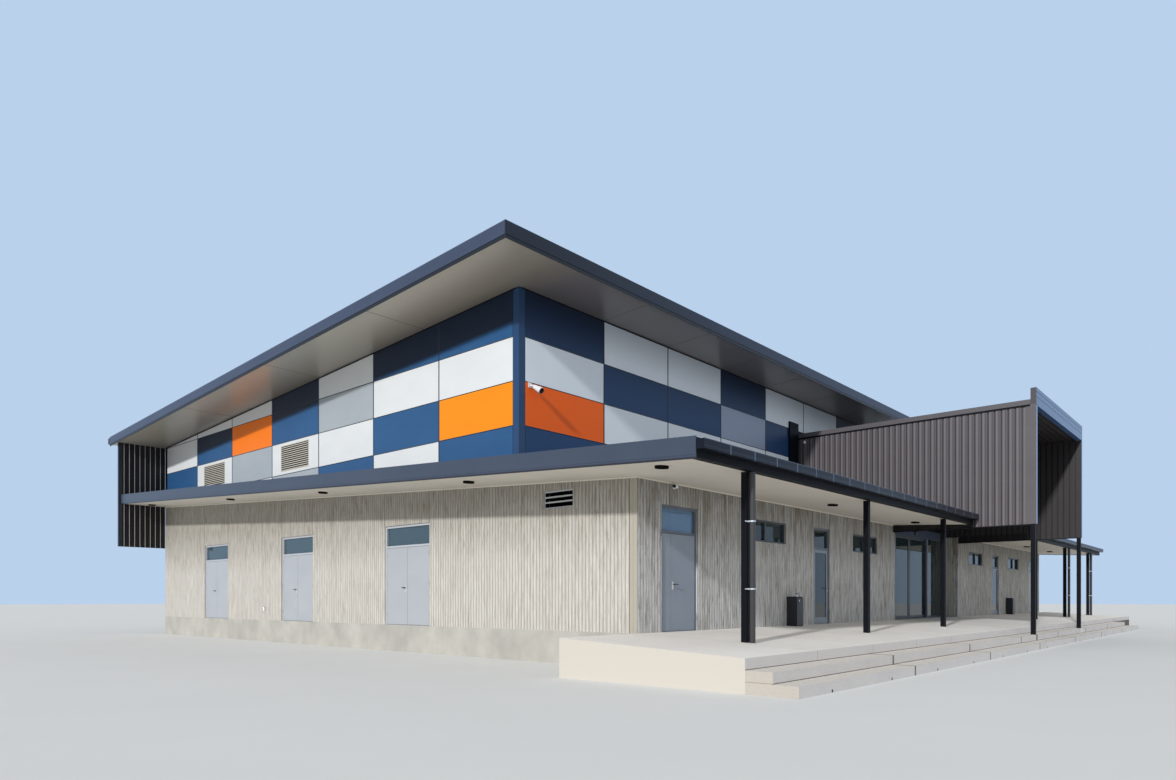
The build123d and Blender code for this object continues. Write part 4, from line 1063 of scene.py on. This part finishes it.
def tube(start, stop, radius, end_radius=None, sides=24):
    """Adds a round or tapering rod between two places on the building."""
    foot, top = at(*start), at(*stop)
    run = top - foot
    turn = run.to_track_quat("Z", "Y").to_euler()
    bpy.ops.mesh.primitive_cone_add(
        vertices=sides, radius1=radius, radius2=end_radius or radius, depth=run.length,
        location=(foot + top) / 2, rotation=turn,
    )


CAMERA_BACK, CAMERA_NECK, CAMERA_FACE = (0.405, 3.40, 5.72), (0.432, 3.25, 5.63), (0.442, 3.19, 5.595)
bracket = begin("upper_camera_bracket")
bar(0.30, 0.42, 3.478, 3.49, 5.70, 5.82)
tube((0.36, 3.48, 5.75), (0.38, 3.42, 5.75), 0.022)
tube((0.38, 3.42, 5.75), CAMERA_BACK, 0.03, 0.028)
end(bracket, camera_white)
body = begin("upper_camera_body")
tube(CAMERA_BACK, CAMERA_NECK, 0.05, 0.074)
tube(CAMERA_NECK, CAMERA_FACE, 0.078)
end(body, camera_white, 0.004)
face = begin("upper_camera_face")
tube((0.440, 3.20, 5.60), (0.446, 3.172, 5.584), 0.066)
faces_facing(face, lambda normal: normal.y < -0.7)
bpy.ops.mesh.inset(thickness=0.02)
bpy.ops.transform.translate(value=(-0.002, 0.014, 0.008))
end(face, camera_black, 0.002)

# Small camera under the low roof beside the front door: a white dome base on the wall
# with a short white barrel and a black lens.
base = begin("door_camera_base")
tube((1.28, -0.001, 3.12), (1.28, -0.03, 3.12), 0.05, 0.045)
tube((1.28, -0.03, 3.12), (1.25, -0.07, 3.12), 0.018)
tube((1.30, -0.07, 3.115), (1.16, -0.11, 3.115), 0.036, 0.034)
end(base, camera_white, 0.003)
lens = begin("door_camera_lens")
tube((1.16, -0.11, 3.115), (1.12, -0.121, 3.115), 0.034, 0.036)
faces_facing(lens, lambda normal: normal.x < -0.8)
bpy.ops.mesh.inset(thickness=0.01)
bpy.ops.transform.translate(value=(0.012, 0.003, 0))
end(lens, camera_black, 0.001)

# Dome sensor on the header over the sliding doors: a half ball of dark plastic with a flat
# back, screwed to the header's face.
SENSOR_R = 0.1
SENSOR_MIDDLE, SENSOR_BACK = at(17.58, 0.5, 3.2), at(17.58, 0.498, 3.2)
dome = begin("entrance_sensor")
bpy.ops.mesh.primitive_uv_sphere_add(
    segments=32, ring_count=16, radius=SENSOR_R, location=SENSOR_MIDDLE
)
bpy.ops.mesh.bisect(plane_co=SENSOR_BACK, plane_no=(0, 1, 0), use_fill=True, clear_outer=True)
end(dome, camera_black, 0.001)

# Vent pipe against the hood's west wall: a thin taupe pipe up from the low roof, held by
# two bands, with a white cowl.
VENT_X, VENT_Y = 13.93, 3.16
VENT_FOOT, VENT_TOP, VENT_R = 3.70, 6.36, 0.03
vent = begin("vent_pipe")
tube((VENT_X, VENT_Y, VENT_FOOT), (VENT_X, VENT_Y, VENT_TOP), VENT_R)
for z in (4.4, 5.8):
    tube((VENT_X, VENT_Y, z), (VENT_X, VENT_Y, z + 0.03), 0.035)
    bar(VENT_X + 0.02, HOOD_WEST + 0.024, VENT_Y - 0.012, VENT_Y + 0.012, z, z + 0.03)
end(vent, brown_steel)
cowl = begin("vent_cowl")
tube((VENT_X, VENT_Y, VENT_TOP), (VENT_X, VENT_Y, 6.42), 0.045)
tube((VENT_X, VENT_Y, 6.42), (VENT_X, VENT_Y, 6.46), 0.045, 0.02)
end(cowl, camera_white, 0.003)

# Fittings of the drinking fountains: a chromed bubbler with a flange on the sloping top, a
# round push button in front, and a black bottle tap on the side.
chrome = Finish("chromed_brass", 0.12, 1.0)
chrome.colour(paint(206, 210, 214))
fittings = begin("fountain_fittings")
for x in (6.70, length - 6.50):
    tube((x, -0.13, 0.768), (x, -0.13, 0.778), 0.045)
    tube((x, -0.13, 0.778), (x, -0.13, 0.85), 0.016)
    tube((x, -0.13, 0.84), (x, -0.20, 0.865), 0.02, 0.014)
    tube((x - 0.17, -0.298, 0.66), (x - 0.17, -0.315, 0.66), 0.025)
end(fittings, chrome, 0.0015)
taps = begin("fountain_taps")
for x in (6.77, length - 6.43):
    bar(x - 0.002, x + 0.06, -0.20, -0.10, 0.34, 0.50)
    tube((x + 0.05, -0.15, 0.40), (x + 0.11, -0.15, 0.38), 0.022)
    tube((x + 0.10, -0.15, 0.40), (x + 0.10, -0.15, 0.30), 0.024, 0.018)
end(taps, camera_black, 0.004)

# Garden tap on the west wall: a short chromed brass pipe with a spout turned down and a
# flat handle, between the second and third doors.
tap = begin("wall_tap")
tube((-0.001, 15.87, 0.40), (-0.07, 15.87, 0.40), 0.012)
tube((-0.06, 15.87, 0.41), (-0.09, 15.87, 0.33), 0.013, 0.011)
tube((-0.05, 15.87, 0.41), (-0.05, 15.87, 0.45), 0.006)
bar(-0.075, -0.025, 15.864, 15.876, 0.45, 0.456)
end(tap, chrome, 0.001)

# Hinges of the leaves that open: three on each leaf, each of three steel knuckles round a
# pin, fixed to the leaf's outer edge and turning with it.
HINGE_HEIGHTS = (0.25, 1.08, 1.88)
KNUCKLE_STEP, KNUCKLE_HIGH, KNUCKLE_R, PIN_R = 0.034, 0.032, 0.006, 0.004
hinge_steel = coated("hinge_steel", (120, 126, 136), (128, 134, 144), 0.35)
for joint in frame["joints"]:
    if joint["type"] != "hinge":
        continue
    x, y = joint["pos_m"][0] - west, joint["pos_m"][1] - south
    knuckles = begin(joint["child"] + "_hinges")
    for z in HINGE_HEIGHTS:
        for n in range(3):
            low = z + KNUCKLE_STEP * n
            tube((x, y, low), (x, y, low + KNUCKLE_HIGH), KNUCKLE_R, sides=12)
        tube((x, y, z - 0.004), (x, y, z + 0.104), PIN_R, sides=12)
    end(knuckles, hinge_steel, 0.0006, joint["child"])
